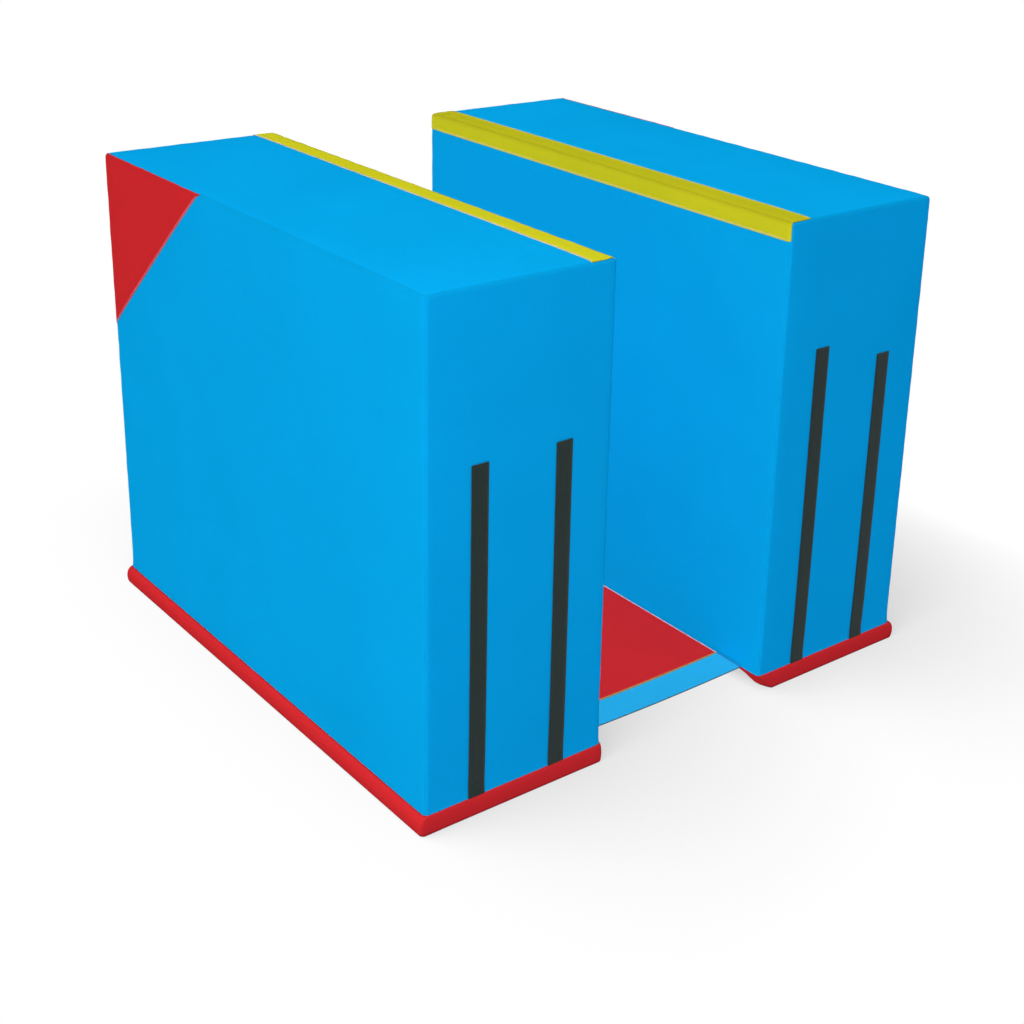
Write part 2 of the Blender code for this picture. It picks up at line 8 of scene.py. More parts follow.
import logging
import math
from dataclasses import dataclass, field
from enum import Enum, IntEnum
from functools import cache
from typing import Iterable, Sequence

import bmesh
import bpy
from mathutils import Euler, Matrix, Vector, noise
from mathutils.bvhtree import BVHTree
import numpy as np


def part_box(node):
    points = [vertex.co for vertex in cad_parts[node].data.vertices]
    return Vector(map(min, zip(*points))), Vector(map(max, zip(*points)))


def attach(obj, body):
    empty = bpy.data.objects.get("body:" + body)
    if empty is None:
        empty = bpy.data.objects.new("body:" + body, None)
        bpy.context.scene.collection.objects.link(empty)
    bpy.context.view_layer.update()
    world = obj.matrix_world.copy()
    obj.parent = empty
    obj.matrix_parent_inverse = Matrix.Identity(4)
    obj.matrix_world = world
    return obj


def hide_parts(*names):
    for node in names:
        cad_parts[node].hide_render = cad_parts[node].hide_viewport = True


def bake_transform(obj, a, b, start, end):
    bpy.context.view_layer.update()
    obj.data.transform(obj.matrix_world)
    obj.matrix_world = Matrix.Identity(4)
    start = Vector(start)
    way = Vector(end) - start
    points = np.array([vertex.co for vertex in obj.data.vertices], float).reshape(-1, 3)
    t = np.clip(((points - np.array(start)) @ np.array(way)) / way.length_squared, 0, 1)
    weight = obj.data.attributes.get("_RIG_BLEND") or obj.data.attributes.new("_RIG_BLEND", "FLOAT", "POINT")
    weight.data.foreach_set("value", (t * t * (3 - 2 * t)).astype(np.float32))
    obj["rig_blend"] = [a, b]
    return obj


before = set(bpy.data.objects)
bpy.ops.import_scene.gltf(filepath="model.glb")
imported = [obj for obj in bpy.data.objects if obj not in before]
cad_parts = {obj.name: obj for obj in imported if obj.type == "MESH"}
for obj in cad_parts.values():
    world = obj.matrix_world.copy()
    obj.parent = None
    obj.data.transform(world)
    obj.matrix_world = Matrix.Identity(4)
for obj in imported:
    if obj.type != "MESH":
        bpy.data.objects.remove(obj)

log = logging.getLogger("dressing")

PART = "part_of_cover"
# The points' painted shade over the rounded top edges and along their seams
PAINTED_SHADE = "dull_over_edges"
WELD = 1e-5
SHARP_ANGLE = math.radians(38)
FLAT_ANGLE = math.radians(1)
# The cosine above which two directions count as the same
SAME_WAY = 0.95
STRAND_SIDES = 6
STRAND_RINGS = 4
AO_SAMPLES = 16
WHITE = "#FFFFFF"
# What the wave texture turns through in a metre at scale 1, in radians, by its bands' direction
WAVE_RATE = {"X": 20.0, "Z": 20.0, "DIAGONAL": 10.0}

Mesh = bmesh.types.BMesh
Tree = bpy.types.NodeTree
Node = bpy.types.Node
Socket = bpy.types.NodeSocket
Colour = tuple[float, float, float, float]

AXES = Vector((1.0, 0.0, 0.0)), Vector((0.0, 1.0, 0.0)), Vector((0.0, 0.0, 1.0))
ACROSS, ALONG, UP = AXES


class Side(Enum):
    """The two blocks, each with the direction along X in which it lies from the channel."""

    LEFT = -1.0
    RIGHT = 1.0

    @property
    def word(self) -> str:
        """The side's name as the pieces have it."""
        return self.name.lower()


class Part(IntEnum):
    """The part of a block's cover that a face of its surface belongs to."""

    UNDERSIDE = 0
    TOP = 1
    OUTER = 2
    INNER = 3
    FRONT = 4
    REAR = 5
    ZIP_SLOT = 6


FACING = {
    (0, True): Part.OUTER,
    (0, False): Part.INNER,
    (1, True): Part.REAR,
    (1, False): Part.FRONT,
    (2, True): Part.TOP,
    (2, False): Part.UNDERSIDE,
}
# The side panels wrap over the top edges, so a face counts as top only where it is nearly level
FACING_WEIGHTS = (1.0, 1.0, 0.3)


def linear(hex_colour: str) -> Colour:
    """Turn an sRGB hex colour into the linear values that shaders take.

    Args:
        hex_colour: Six hex digits after a hash.

    Returns:
        Linear red, green and blue, and an alpha of 1.
    """
    parts = [int(hex_colour[place:place + 2], 16) / 255 for place in (1, 3, 5)]
    made = [part / 12.92 if part <= 0.04045 else ((part + 0.055) / 1.055) ** 2.4 for part in parts]
    return made[0], made[1], made[2], 1.0


def shaded(colour: Colour, factor: float) -> Colour:
    """Make a colour lighter or darker by a factor, and keep its alpha."""
    return colour[0] * factor, colour[1] * factor, colour[2] * factor, 1.0


def add_node(tree: Tree, kind: str, inputs: dict | None = None, **settings: object) -> Node:
    """Add a node with its settings, values and links.

    Args:
        tree: The node tree to add to.
        kind: The node's type.
        inputs: For each input's name or number, a value, or a socket to link it to.
        **settings: The node's own properties.

    Returns:
        The new node.
    """
    node = tree.nodes.new(kind)
    for name, value in settings.items():
        setattr(node, name, value)
    for name, value in (inputs or {}).items():
        if isinstance(value, Socket):
            tree.links.new(value, node.inputs[name])
        else:
            node.inputs[name].default_value = value
    return node


def features(size_mm: float) -> float:
    """The texture scale that gives features of a size, on coordinates in metres."""
    return 1000.0 / size_mm


def waves(size_mm: float, direction: str) -> float:
    """The wave texture's scale that gives waves of a length along an axis."""
    return features(size_mm) * math.tau / WAVE_RATE[direction]


@dataclass(frozen=True)
class Finish:
    """What a surface is made of: its material's name, its colour, and the nodes that draw it."""

    name: str
    colour: str

    @cache
    def material(self) -> bpy.types.Material:
        """Build the material, once for all the pieces that have it.

        Returns:
            The material.
        """
        material = bpy.data.materials.new(self.name)
        material.use_nodes = True
        tree = material.node_tree
        tree.nodes.clear()
        shader = self.surface(tree)
        add_node(tree, "ShaderNodeOutputMaterial", {"Surface": shader.outputs[0]})
        return material

    def surface(self, tree: Tree) -> Node:
        """Add the nodes that draw the surface.

        Args:
            tree: The material's nodes.

        Returns:
            The shader that ends them.
        """
        raise NotImplementedError


@dataclass(frozen=True)
class CoatedFabric(Finish):
    """PVC-coated polyester, calendered: an even satin colour with a fine embossed grain."""

    roughness: float = 0.45
    roughness_spread: tuple[float, float] = (-0.04, 0.05)
    sheen_share: float = 0.07
    # Real grain is about 0.6 mm, too fine to show, so it is drawn at 2.2 mm
    grain_mm: float = 2.2
    depth_mm: float = 0.10
    # The coat's thickness varies slowly, and the grain speckles it
    mottle_mm: float = 210.0
    speckle_share: float = 0.35
    tones: tuple[float, float] = (0.96, 1.03)
    # How dark the shade in seams and under raised edges gets, how far out it reaches, and how
    # open a place is where it is full and where it ends
    crease_shade: float = 0.45
    crease_mm: float = 9.0
    crease_openness: tuple[float, float] = (0.40, 0.96)
    # How much painted shade darkens the fabric over a rounded top edge, against the bright band
    # that the lamps give it there
    edge_shade_strength: float = 0.17
    # Share of its light that the fabric throws on other pieces; the tent is without shadows and
    # lets more light into the channel than a real one does
    thrown_share: float = 0.7

    def surface(self, tree: Tree) -> Node:
        """Add the fabric's nodes.

        Args:
            tree: The material's nodes.

        Returns:
            The shader that ends them.
        """
        place = add_node(tree, "ShaderNodeTexCoord").outputs["Object"]
        mottle = add_node(tree, "ShaderNodeTexNoise", {
            "Vector": place, "Scale": features(self.mottle_mm), "Detail": 3.0, "Roughness": 0.55,
        })
        shown = add_node(tree, "ShaderNodeVectorMath", {
            0: self.tone(tree, place, mottle), "Scale": self.brightness(tree),
        }, operation="SCALE")
        grain = add_node(tree, "ShaderNodeTexVoronoi", {
            "Vector": place, "Scale": features(self.grain_mm),
        }, feature="SMOOTH_F1")
        bump = add_node(tree, "ShaderNodeBump", {
            "Height": grain.outputs["Distance"], "Strength": 0.35,
            "Distance": self.depth_mm / 1000,
        })
        smoothest, roughest = (self.roughness + change for change in self.roughness_spread)
        gloss = add_node(tree, "ShaderNodeMapRange", {
            "Value": mottle.outputs[0], "From Min": 0.3, "From Max": 0.7,
            "To Min": smoothest, "To Max": roughest,
        })
        body = add_node(tree, "ShaderNodeBsdfPrincipled", {
            "Base Color": shown.outputs[0], "Roughness": 0.8, "Specular IOR Level": 0.0,
            "Normal": bump.outputs[0],
        })
        # The calendered skin shines softly in its own colour, not in white
        skin = add_node(tree, "ShaderNodeBsdfGlossy", {
            "Color": shown.outputs[0], "Roughness": gloss.outputs[0],
            "Normal": bump.outputs[0],
        })
        return add_node(tree, "ShaderNodeMixShader", {
            0: self.sheen_share, 1: body.outputs[0], 2: skin.outputs[0],
        })

    def tone(self, tree: Tree, place: Socket, mottle: Node) -> Socket:
        """Add the nodes of the colour and its slight changes.

        Args:
            tree: The material's nodes.
            place: The piece's own coordinates.
            mottle: The slow change of the coat's thickness.

        Returns:
            The colour.
        """
        speckle = add_node(tree, "ShaderNodeTexNoise", {
            "Vector": place, "Scale": features(self.grain_mm * 2), "Detail": 1.0,
        })
        share = add_node(tree, "ShaderNodeMix", {
            0: self.speckle_share, 2: mottle.outputs[0], 3: speckle.outputs[0],
        }, data_type="FLOAT")
        ramp = add_node(tree, "ShaderNodeValToRGB", {"Fac": share.outputs[0]})
        colour = linear(self.colour)
        for element, position, factor in zip(ramp.color_ramp.elements, (0.30, 0.70), self.tones):
            element.position = position
            element.color = shaded(colour, factor)
        return ramp.outputs["Color"]

    def brightness(self, tree: Tree) -> Socket:
        """Add the painted shade in creases and over top edges, and dim the light the fabric throws.

        Args:
            tree: The material's nodes.

        Returns:
            The factor on the colour.
        """
        # Painted shade where the fabric is closed in: in seams and under raised edges
        openness = add_node(tree, "ShaderNodeAmbientOcclusion", {
            "Distance": self.crease_mm / 1000,
        }, samples=AO_SAMPLES)
        closed, clear = self.crease_openness
        crease = add_node(tree, "ShaderNodeMapRange", {
            "Value": openness.outputs["AO"], "From Min": closed, "From Max": clear,
            "To Min": self.crease_shade, "To Max": 1.0,
        })
        thrown = add_node(tree, "ShaderNodeMapRange", {
            "Value": add_node(tree, "ShaderNodeLightPath").outputs["Is Diffuse Ray"],
            "To Min": 1.0, "To Max": self.thrown_share,
        })
        # Painted shade over the rounded top edges and their seams
        shade_share = add_node(tree, "ShaderNodeAttribute", attribute_name=PAINTED_SHADE).outputs["Fac"]
        kept = add_node(tree, "ShaderNodeMapRange", {
            "Value": shade_share, "To Min": 1.0, "To Max": 1.0 - self.edge_shade_strength,
        }, clamp=False)
        dimmed = add_node(tree, "ShaderNodeMath", {
            0: crease.outputs[0], 1: thrown.outputs[0],
        }, operation="MULTIPLY")
        return add_node(tree, "ShaderNodeMath", {
            0: dimmed.outputs[0], 1: kept.outputs[0],
        }, operation="MULTIPLY").outputs[0]


@dataclass(frozen=True)
class CutEdge(Finish):
    """The cut edge of coated polyester, where its pale woven base shows between the coats."""

    thread_mm: float = 1.4
    depth_mm: float = 0.2
    dark_tone: float = 0.86

    def surface(self, tree: Tree) -> Node:
        """Add the cut edge's nodes.

        Args:
            tree: The material's nodes.

        Returns:
            The shader that ends them.
        """
        place = add_node(tree, "ShaderNodeTexCoord").outputs["Object"]
        thread = add_node(tree, "ShaderNodeTexNoise", {
            "Vector": place, "Scale": features(self.thread_mm), "Detail": 2.0,
        })
        colour = linear(self.colour)
        tone = add_node(tree, "ShaderNodeMix", {
            0: thread.outputs[0], 6: shaded(colour, self.dark_tone), 7: colour,
        }, data_type="RGBA")
        bump = add_node(tree, "ShaderNodeBump", {
            "Height": thread.outputs[0], "Strength": 0.4, "Distance": self.depth_mm / 1000,
        })
        return add_node(tree, "ShaderNodeBsdfPrincipled", {
            "Base Color": tone.outputs[2], "Roughness": 0.85, "Specular IOR Level": 0.2,
            "Normal": bump.outputs[0],
        })


@dataclass(frozen=True)
class HookAndLoop(Finish):
    """Woven nylon tape with a pile of loops: dark, matt, and uneven from the crushed loops."""

    # Real loops are about 0.5 mm across, too fine to show, so the pile is drawn at 2.4 mm
    loop_mm: float = 2.4
    depth_mm: float = 0.8
    crush_mm: float = 34.0
    crush_share: float = 0.5
    tones: tuple[float, float] = (1.35, 0.55)

    def surface(self, tree: Tree) -> Node:
        """Add the tape's nodes.

        Args:
            tree: The material's nodes.

        Returns:
            The shader that ends them.
        """
        place = add_node(tree, "ShaderNodeTexCoord").outputs["Object"]
        loops = add_node(tree, "ShaderNodeTexVoronoi", {
            "Vector": place, "Scale": features(self.loop_mm), "Randomness": 0.9,
        })
        crush = add_node(tree, "ShaderNodeTexNoise", {
            "Vector": place, "Scale": features(self.crush_mm), "Detail": 4.0, "Roughness": 0.6,
        })
        share = add_node(tree, "ShaderNodeMix", {
            0: self.crush_share, 2: loops.outputs["Distance"], 3: crush.outputs[0],
        }, data_type="FLOAT")
        standing, crushed = (shaded(linear(self.colour), factor) for factor in self.tones)
        tone = add_node(tree, "ShaderNodeMix", {
            0: share.outputs[0], 6: standing, 7: crushed,
        }, data_type="RGBA")
        bump = add_node(tree, "ShaderNodeBump", {
            "Height": loops.outputs["Distance"], "Strength": 0.9,
            "Distance": self.depth_mm / 1000,
        }, invert=True)
        return add_node(tree, "ShaderNodeBsdfPrincipled", {
            "Base Color": tone.outputs[2], "Roughness": 0.92, "Specular IOR Level": 0.15,
            "Sheen Weight": 0.12, "Sheen Roughness": 0.6, "Normal": bump.outputs[0],
        })


@dataclass(frozen=True)
class WovenTape(Finish):
    """Woven polyester zip tape: close, matt, with its threads crossing."""

    # Real threads are about 0.5 mm apart, too fine to show, so they are drawn at 7.54 mm
    thread_mm: float = 7.54
    depth_mm: float = 0.2
    tones: tuple[float, float] = (0.6, 1.3)

    def surface(self, tree: Tree) -> Node:
        """Add the tape's nodes.

        Args:
            tree: The material's nodes.

        Returns:
            The shader that ends them.
        """
        place = add_node(tree, "ShaderNodeTexCoord").outputs["Object"]
        rows = [
            add_node(tree, "ShaderNodeTexWave", {
                "Vector": place, "Scale": waves(self.thread_mm, direction), "Distortion": 0.4,
            }, bands_direction=direction)
            for direction in ("X", "Z")
        ]
        weave = add_node(tree, "ShaderNodeMath", {
            0: rows[0].outputs[1], 1: rows[1].outputs[1],
        }, operation="MAXIMUM")
        hollow, raised = (shaded(linear(self.colour), factor) for factor in self.tones)
        tone = add_node(tree, "ShaderNodeMix", {
            0: weave.outputs[0], 6: hollow, 7: raised,
        }, data_type="RGBA")
        bump = add_node(tree, "ShaderNodeBump", {
            "Height": weave.outputs[0], "Strength": 0.5, "Distance": self.depth_mm / 1000,
        })
        return add_node(tree, "ShaderNodeBsdfPrincipled", {
            "Base Color": tone.outputs[2], "Roughness": 0.85, "Specular IOR Level": 0.25,
            "Normal": bump.outputs[0],
        })


@dataclass(frozen=True)
class SpunThread(Finish):
    """Bonded polyester sewing thread: a soft shine, and a tone that changes along the row."""

    # Real twist is about 0.5 mm long, too fine to show, so the tone changes along 20.1 mm
    tone_mm: float = 20.1
    dark_tone: float = 0.85

    def surface(self, tree: Tree) -> Node:
        """Add the thread's nodes.

        Args:
            tree: The material's nodes.

        Returns:
            The shader that ends them.
        """
        place = add_node(tree, "ShaderNodeTexCoord").outputs["Object"]
        stitches = add_node(tree, "ShaderNodeTexWave", {
            "Vector": place, "Scale": waves(self.tone_mm, "DIAGONAL"),
        }, bands_direction="DIAGONAL")
        colour = linear(self.colour)
        tone = add_node(tree, "ShaderNodeMix", {
            0: stitches.outputs[1], 6: shaded(colour, self.dark_tone), 7: colour,
        }, data_type="RGBA")
        return add_node(tree, "ShaderNodeBsdfPrincipled", {
            "Base Color": tone.outputs[2], "Roughness": 0.55, "Specular IOR Level": 0.4,
        })


@dataclass(frozen=True)
class CutFoam(Finish):
    """Foam cut with a blade: matt, with its open cells."""

    # Real cells are about 1 mm across, drawn at 2 mm so that they show
    cell_mm: float = 2.0
    depth_mm: float = 0.6
    dark_tone: float = 0.75

    def surface(self, tree: Tree) -> Node:
        """Add the foam's nodes.

        Args:
            tree: The material's nodes.

        Returns:
            The shader that ends them.
        """
        place = add_node(tree, "ShaderNodeTexCoord").outputs["Object"]
        cells = add_node(tree, "ShaderNodeTexVoronoi", {
            "Vector": place, "Scale": features(self.cell_mm),
        })
        colour = linear(self.colour)
        tone = add_node(tree, "ShaderNodeMix", {
            0: cells.outputs["Distance"], 6: shaded(colour, self.dark_tone), 7: colour,
        }, data_type="RGBA")
        bump = add_node(tree, "ShaderNodeBump", {
            "Height": cells.outputs["Distance"], "Strength": 0.8,
            "Distance": self.depth_mm / 1000,
        })
        return add_node(tree, "ShaderNodeBsdfPrincipled", {
            "Base Color": tone.outputs[2], "Roughness": 0.95, "Specular IOR Level": 0.1,
            "Normal": bump.outputs[0],
        })


@dataclass(frozen=True)
class MouldedAcetal(Finish):
    """Injection-moulded acetal, as zip teeth are: smooth, hard, with a low even shine."""

    flow_mm: float = 6.0
    roughness: tuple[float, float] = (0.30, 0.48)

    def surface(self, tree: Tree) -> Node:
        """Add the plastic's nodes.

        Args:
            tree: The material's nodes.

        Returns:
            The shader that ends them.
        """
        place = add_node(tree, "ShaderNodeTexCoord").outputs["Object"]
        flow = add_node(tree, "ShaderNodeTexNoise", {
            "Vector": place, "Scale": features(self.flow_mm), "Detail": 2.0,
        })
        smoothest, roughest = self.roughness
        gloss = add_node(tree, "ShaderNodeMapRange", {
            "Value": flow.outputs[0], "To Min": smoothest, "To Max": roughest,
        })
        return add_node(tree, "ShaderNodeBsdfPrincipled", {
            "Base Color": linear(self.colour), "Roughness": gloss.outputs[0], "IOR": 1.48,
        })


@dataclass(frozen=True)
class PlatedZinc(Finish):
    """Die-cast zinc with a dark nickel plate: bright metal, worn in fine hazy marks."""

    wear_mm: float = 3.0
    roughness: tuple[float, float] = (0.20, 0.50)
    dark_tone: float = 0.8

    def surface(self, tree: Tree) -> Node:
        """Add the metal's nodes.

        Args:
            tree: The material's nodes.

        Returns:
            The shader that ends them.
        """
        place = add_node(tree, "ShaderNodeTexCoord").outputs["Object"]
        wear = add_node(tree, "ShaderNodeTexNoise", {
            "Vector": place, "Scale": features(self.wear_mm), "Detail": 4.0,
        })
        smoothest, roughest = self.roughness
        gloss = add_node(tree, "ShaderNodeMapRange", {
            "Value": wear.outputs[0], "To Min": smoothest, "To Max": roughest,
        })
        colour = linear(self.colour)
        tone = add_node(tree, "ShaderNodeMix", {
            0: wear.outputs[0], 6: shaded(colour, self.dark_tone), 7: colour,
        }, data_type="RGBA")
        return add_node(tree, "ShaderNodeBsdfPrincipled", {
            "Base Color": tone.outputs[2], "Metallic": 1.0, "Roughness": gloss.outputs[0],
        })


@dataclass(frozen=True)
class StudioPaper(Finish):
    """Matt seamless paper, white and evenly lit but for a soft shadow beside the object.

    The colour is what the object's own light bounces off.
    """

    # How bright it stays where nothing but the object is above it, and how far the shadow reaches
    darkest: float = 0.36
    reach: float = 0.60
    # The side that the light comes from, so that the shadow lies on the other one
    light_side: tuple[float, float, float] = (-0.86, -0.08, 0.48)

    def surface(self, tree: Tree) -> Node:
        """Add the paper's nodes.

        Args:
            tree: The material's nodes.

        Returns:
            The shader that ends them.
        """
        leaning = add_node(tree, "ShaderNodeVectorMath", {
            0: self.light_side,
        }, operation="NORMALIZE")
        openness = add_node(tree, "ShaderNodeAmbientOcclusion", {
            "Distance": self.reach, "Normal": leaning.outputs["Vector"],
        }, samples=AO_SAMPLES)
        shade = add_node(tree, "ShaderNodeMapRange", {
            "Value": openness.outputs["AO"], "To Min": self.darkest, "To Max": 1.0,
        })
        seen = add_node(tree, "ShaderNodeEmission", {
            "Color": linear(WHITE), "Strength": shade.outputs[0],
        })
        dim = add_node(tree, "ShaderNodeBsdfDiffuse", {"Color": linear(self.colour)})
        return add_node(tree, "ShaderNodeMixShader", {
            0: seen_rays(tree), 1: dim.outputs[0], 2: seen.outputs[0],
        })


def seen_rays(tree: Tree) -> Socket:
    """Add nodes that say 1 for camera, glossy and transmission rays, and 0 for the others.

    Args:
        tree: The node tree to add to.

    Returns:
        The socket that gives the number.
    """
    path = add_node(tree, "ShaderNodeLightPath")
    total = path.outputs["Is Camera Ray"]
    for name in ("Is Glossy Ray", "Is Transmission Ray"):
        total = add_node(tree, "ShaderNodeMath", {
            0: total, 1: path.outputs[name],
        }, operation="MAXIMUM").outputs[0]
    return total


BLUE = CoatedFabric("blue_coated_polyester", "#06A4E0")
RED = CoatedFabric("red_coated_polyester", "#CD292C")
YELLOW = CoatedFabric("yellow_coated_polyester", "#CECA22")
LIGHT_BLUE = CoatedFabric("light_blue_coated_polyester", "#28ABD8")
PALE_EDGE = CutEdge("cut_edge_of_coated_polyester", "#C9CBE0")
# The flap's cut edges are painted dark grey-blue: painted shade, for an edge in shadow
SHADED_FLAP_EDGE = CutEdge("cut_edge_of_the_flap", "#41525C")
TAPE = HookAndLoop("woven_nylon_loop_tape", "#0F251B")
PALE_THREAD = SpunThread("pale_polyester_thread", "#C4C8DC")
BLUE_THREAD = SpunThread("blue_polyester_thread", "#0F93D2")
# Painted shade: deep blue thread where the flap's bands meet the blocks
SHADE_LINE_THREAD = SpunThread("deep_blue_polyester_thread", "#0B6AA6")
DARK_THREAD = SpunThread("dark_polyester_thread", "#1E2622")
OCHRE_THREAD = SpunThread("ochre_polyester_thread", "#A9893A")
SOFT_FOAM = CutFoam("soft_polyurethane_foam", "#E6E0C4")
FIRM_FOAM = CutFoam("firm_polyethylene_foam", "#4A4C50", cell_mm=1.6)
ZIP_WEAVE = WovenTape("woven_zip_tape", "#1B1B1D")
ZIP_PLASTIC = MouldedAcetal("moulded_acetal_zip_teeth", "#1E1E20")
ZIP_METAL = PlatedZinc("nickel_plated_zinc", "#8C8C90")


def grid_lines(
    low: float, high: float, spacing: float, fixed: Iterable[float] = ()
) -> list[float]:
    """Spread lines evenly between two ends, through every fixed place.

    Args:
        low: The lower end, which gets no line.
        high: The upper end, which gets no line.
        spacing: About how far apart the lines are.
        fixed: Places that a line has to pass through.

    Returns:
        The lines' places in order.
    """
    stops = sorted({low, high, *fixed})
    lines = []
    for start, stop in zip(stops, stops[1:]):
        steps = max(1, round((stop - start) / spacing))
        lines += [start + (stop - start) * step / steps for step in range(steps)]
    return lines[1:]


def cut_along(bm: Mesh, axis: int, places: Iterable[float]) -> None:
    """Score a mesh with planes square to an axis, and keep both sides of each.

    Args:
        bm: The mesh.
        axis: 0, 1 or 2 for X, Y or Z.
        places: Where the planes lie along the axis.
    """
    for place in places:
        bmesh.ops.bisect_plane(
            bm, geom=[*bm.verts, *bm.edges, *bm.faces], dist=WELD,
            plane_co=AXES[axis] * place, plane_no=AXES[axis],
        )


def keep_behind(bm: Mesh, place: Vector, outward: Vector, close: bool = False) -> None:
    """Cut a mesh with a plane and throw away what lies in front of it.

    Args:
        bm: The mesh.
        place: A point on the plane.
        outward: The direction of the side that goes.
        close: Whether the cut gets a face over it.
    """
    cut = bmesh.ops.bisect_plane(
        bm, geom=[*bm.verts, *bm.edges, *bm.faces], dist=WELD,
        plane_co=place, plane_no=outward, clear_outer=True,
    )
    if close:
        edges = [item for item in cut["geom_cut"] if isinstance(item, bmesh.types.BMEdge)]
        bmesh.ops.edgeloop_fill(bm, edges=edges)


def standing_box(width: float, length: float, low: float, high: float) -> Mesh:
    """Make a box over the middle of the floor.

    Args:
        width: Its size along X.
        length: Its size along Y.
        low: The height of its underside.
        high: The height of its top.

    Returns:
        The box.
    """
    bm = bmesh.new()
    bmesh.ops.create_cube(bm, size=1.0)
    bmesh.ops.scale(bm, vec=(width, length, high - low), verts=bm.verts)
    bmesh.ops.translate(bm, vec=(0.0, 0.0, (high + low) / 2), verts=bm.verts)
    return bm


def round_off(
    bm: Mesh, edges: Sequence[bmesh.types.BMEdge], radius: float, steps: int = 1
) -> None:
    """Round some edges of a mesh.

    Args:
        bm: The mesh.
        edges: The edges.
        radius: The rounding's radius.
        steps: How many flats make the rounding.
    """
    bmesh.ops.bevel(
        bm, geom=edges, offset=radius, segments=steps, profile=0.5, affect="EDGES", material=-1,
    )


def sign(value: float) -> float:
    """Give 1, -1 or 0 by the sign of a length."""
    return 0.0 if abs(value) < WELD else math.copysign(1.0, value)


def lifted(bm: Mesh, height: float) -> Mesh:
    """Move a surface out along its own normals.

    Args:
        bm: The surface.
        height: How far, or a negative length to move inward.

    Returns:
        The same mesh.
    """
    bm.normal_update()
    moves = [(vert, vert.normal.copy()) for vert in bm.verts]
    for vert, normal in moves:
        vert.co += normal * height
    return bm


def evaluated_mesh(obj: bpy.types.Object) -> bpy.types.Mesh:
    """Take an object's mesh as its modifiers leave it."""
    graph = bpy.context.evaluated_depsgraph_get()
    return bpy.data.meshes.new_from_object(obj.evaluated_get(graph), depsgraph=graph)


def temporary_object(bm: Mesh, name: str) -> bpy.types.Object:
    """Put a mesh in the scene as an object.

    Args:
        bm: The mesh, which is kept.
        name: The object's name.

    Returns:
        The object.
    """
    mesh = bpy.data.meshes.new(name)
    bm.to_mesh(mesh)
    obj = bpy.data.objects.new(name, mesh)
    bpy.context.scene.collection.objects.link(obj)
    return obj


def subdivided(bm: Mesh, levels: int = 1) -> Mesh:
    """Smooth a mesh by subdivision.

    Args:
        bm: The mesh, which is freed.
        levels: How many times each face is split.

    Returns:
        A new mesh with the same face layers.
    """
    obj = temporary_object(bm, "to_subdivide")
    bm.free()
    modifier = obj.modifiers.new("smooth", "SUBSURF")
    modifier.levels = modifier.render_levels = levels
    made = bmesh.new()
    made.from_mesh(evaluated_mesh(obj))
    bpy.data.objects.remove(obj)
    return made


@dataclass
class Fitting:
    """How a finished mesh becomes a piece: what it is made of, rides on and stands for."""

    finishes: Sequence[Finish]
    body: str | tuple[str, str]
    replaces: Sequence[str] = ()
    slot: str | None = None
    thickness: float = 0.0
    rounding: float = 0.0
    bend: tuple[Vector, Vector] | None = None


def add_piece(name: str, bm: Mesh, fitting: Fitting) -> bpy.types.Object:
    """Turn a mesh into a piece of the object, and report it.

    Args:
        name: The piece's name.
        bm: The piece's mesh in the frame's coordinates, which is freed.
        fitting: What the piece is made of, rides on and stands for.

    Returns:
        The piece.
    """
    obj = temporary_object(bm, name)
    bm.free()
    for finish in fitting.finishes:
        obj.data.materials.append(finish.material())
    if fitting.thickness:
        wall = obj.modifiers.new("wall", "SOLIDIFY")
        wall.thickness = fitting.thickness
        wall.offset = -1.0
        wall.use_even_offset = True
        wall.material_offset_rim = len(fitting.finishes) - 1
    if fitting.rounding:
        rounding = obj.modifiers.new("rounding", "BEVEL")
        rounding.width = fitting.rounding
        rounding.segments = 2
        rounding.limit_method = "ANGLE"
        rounding.angle_limit = SHARP_ANGLE
    if obj.modifiers:
        made = evaluated_mesh(obj)
        obj.modifiers.clear()
        obj.data = made
        made.name = name
    obj.data.shade_smooth()
    obj.data.set_sharp_from_angle(angle=SHARP_ANGLE)
    if fitting.bend:
        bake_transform(obj, *fitting.body, start=fitting.bend[0], end=fitting.bend[1])
    else:
        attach(obj, fitting.body)
    if fitting.replaces:
        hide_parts(*fitting.replaces)
    faces = len(obj.data.polygons)
    log.info("%s: %d faces, %s, rides on %s", name, faces, obj.data.materials[0].name, fitting.body)
    return obj


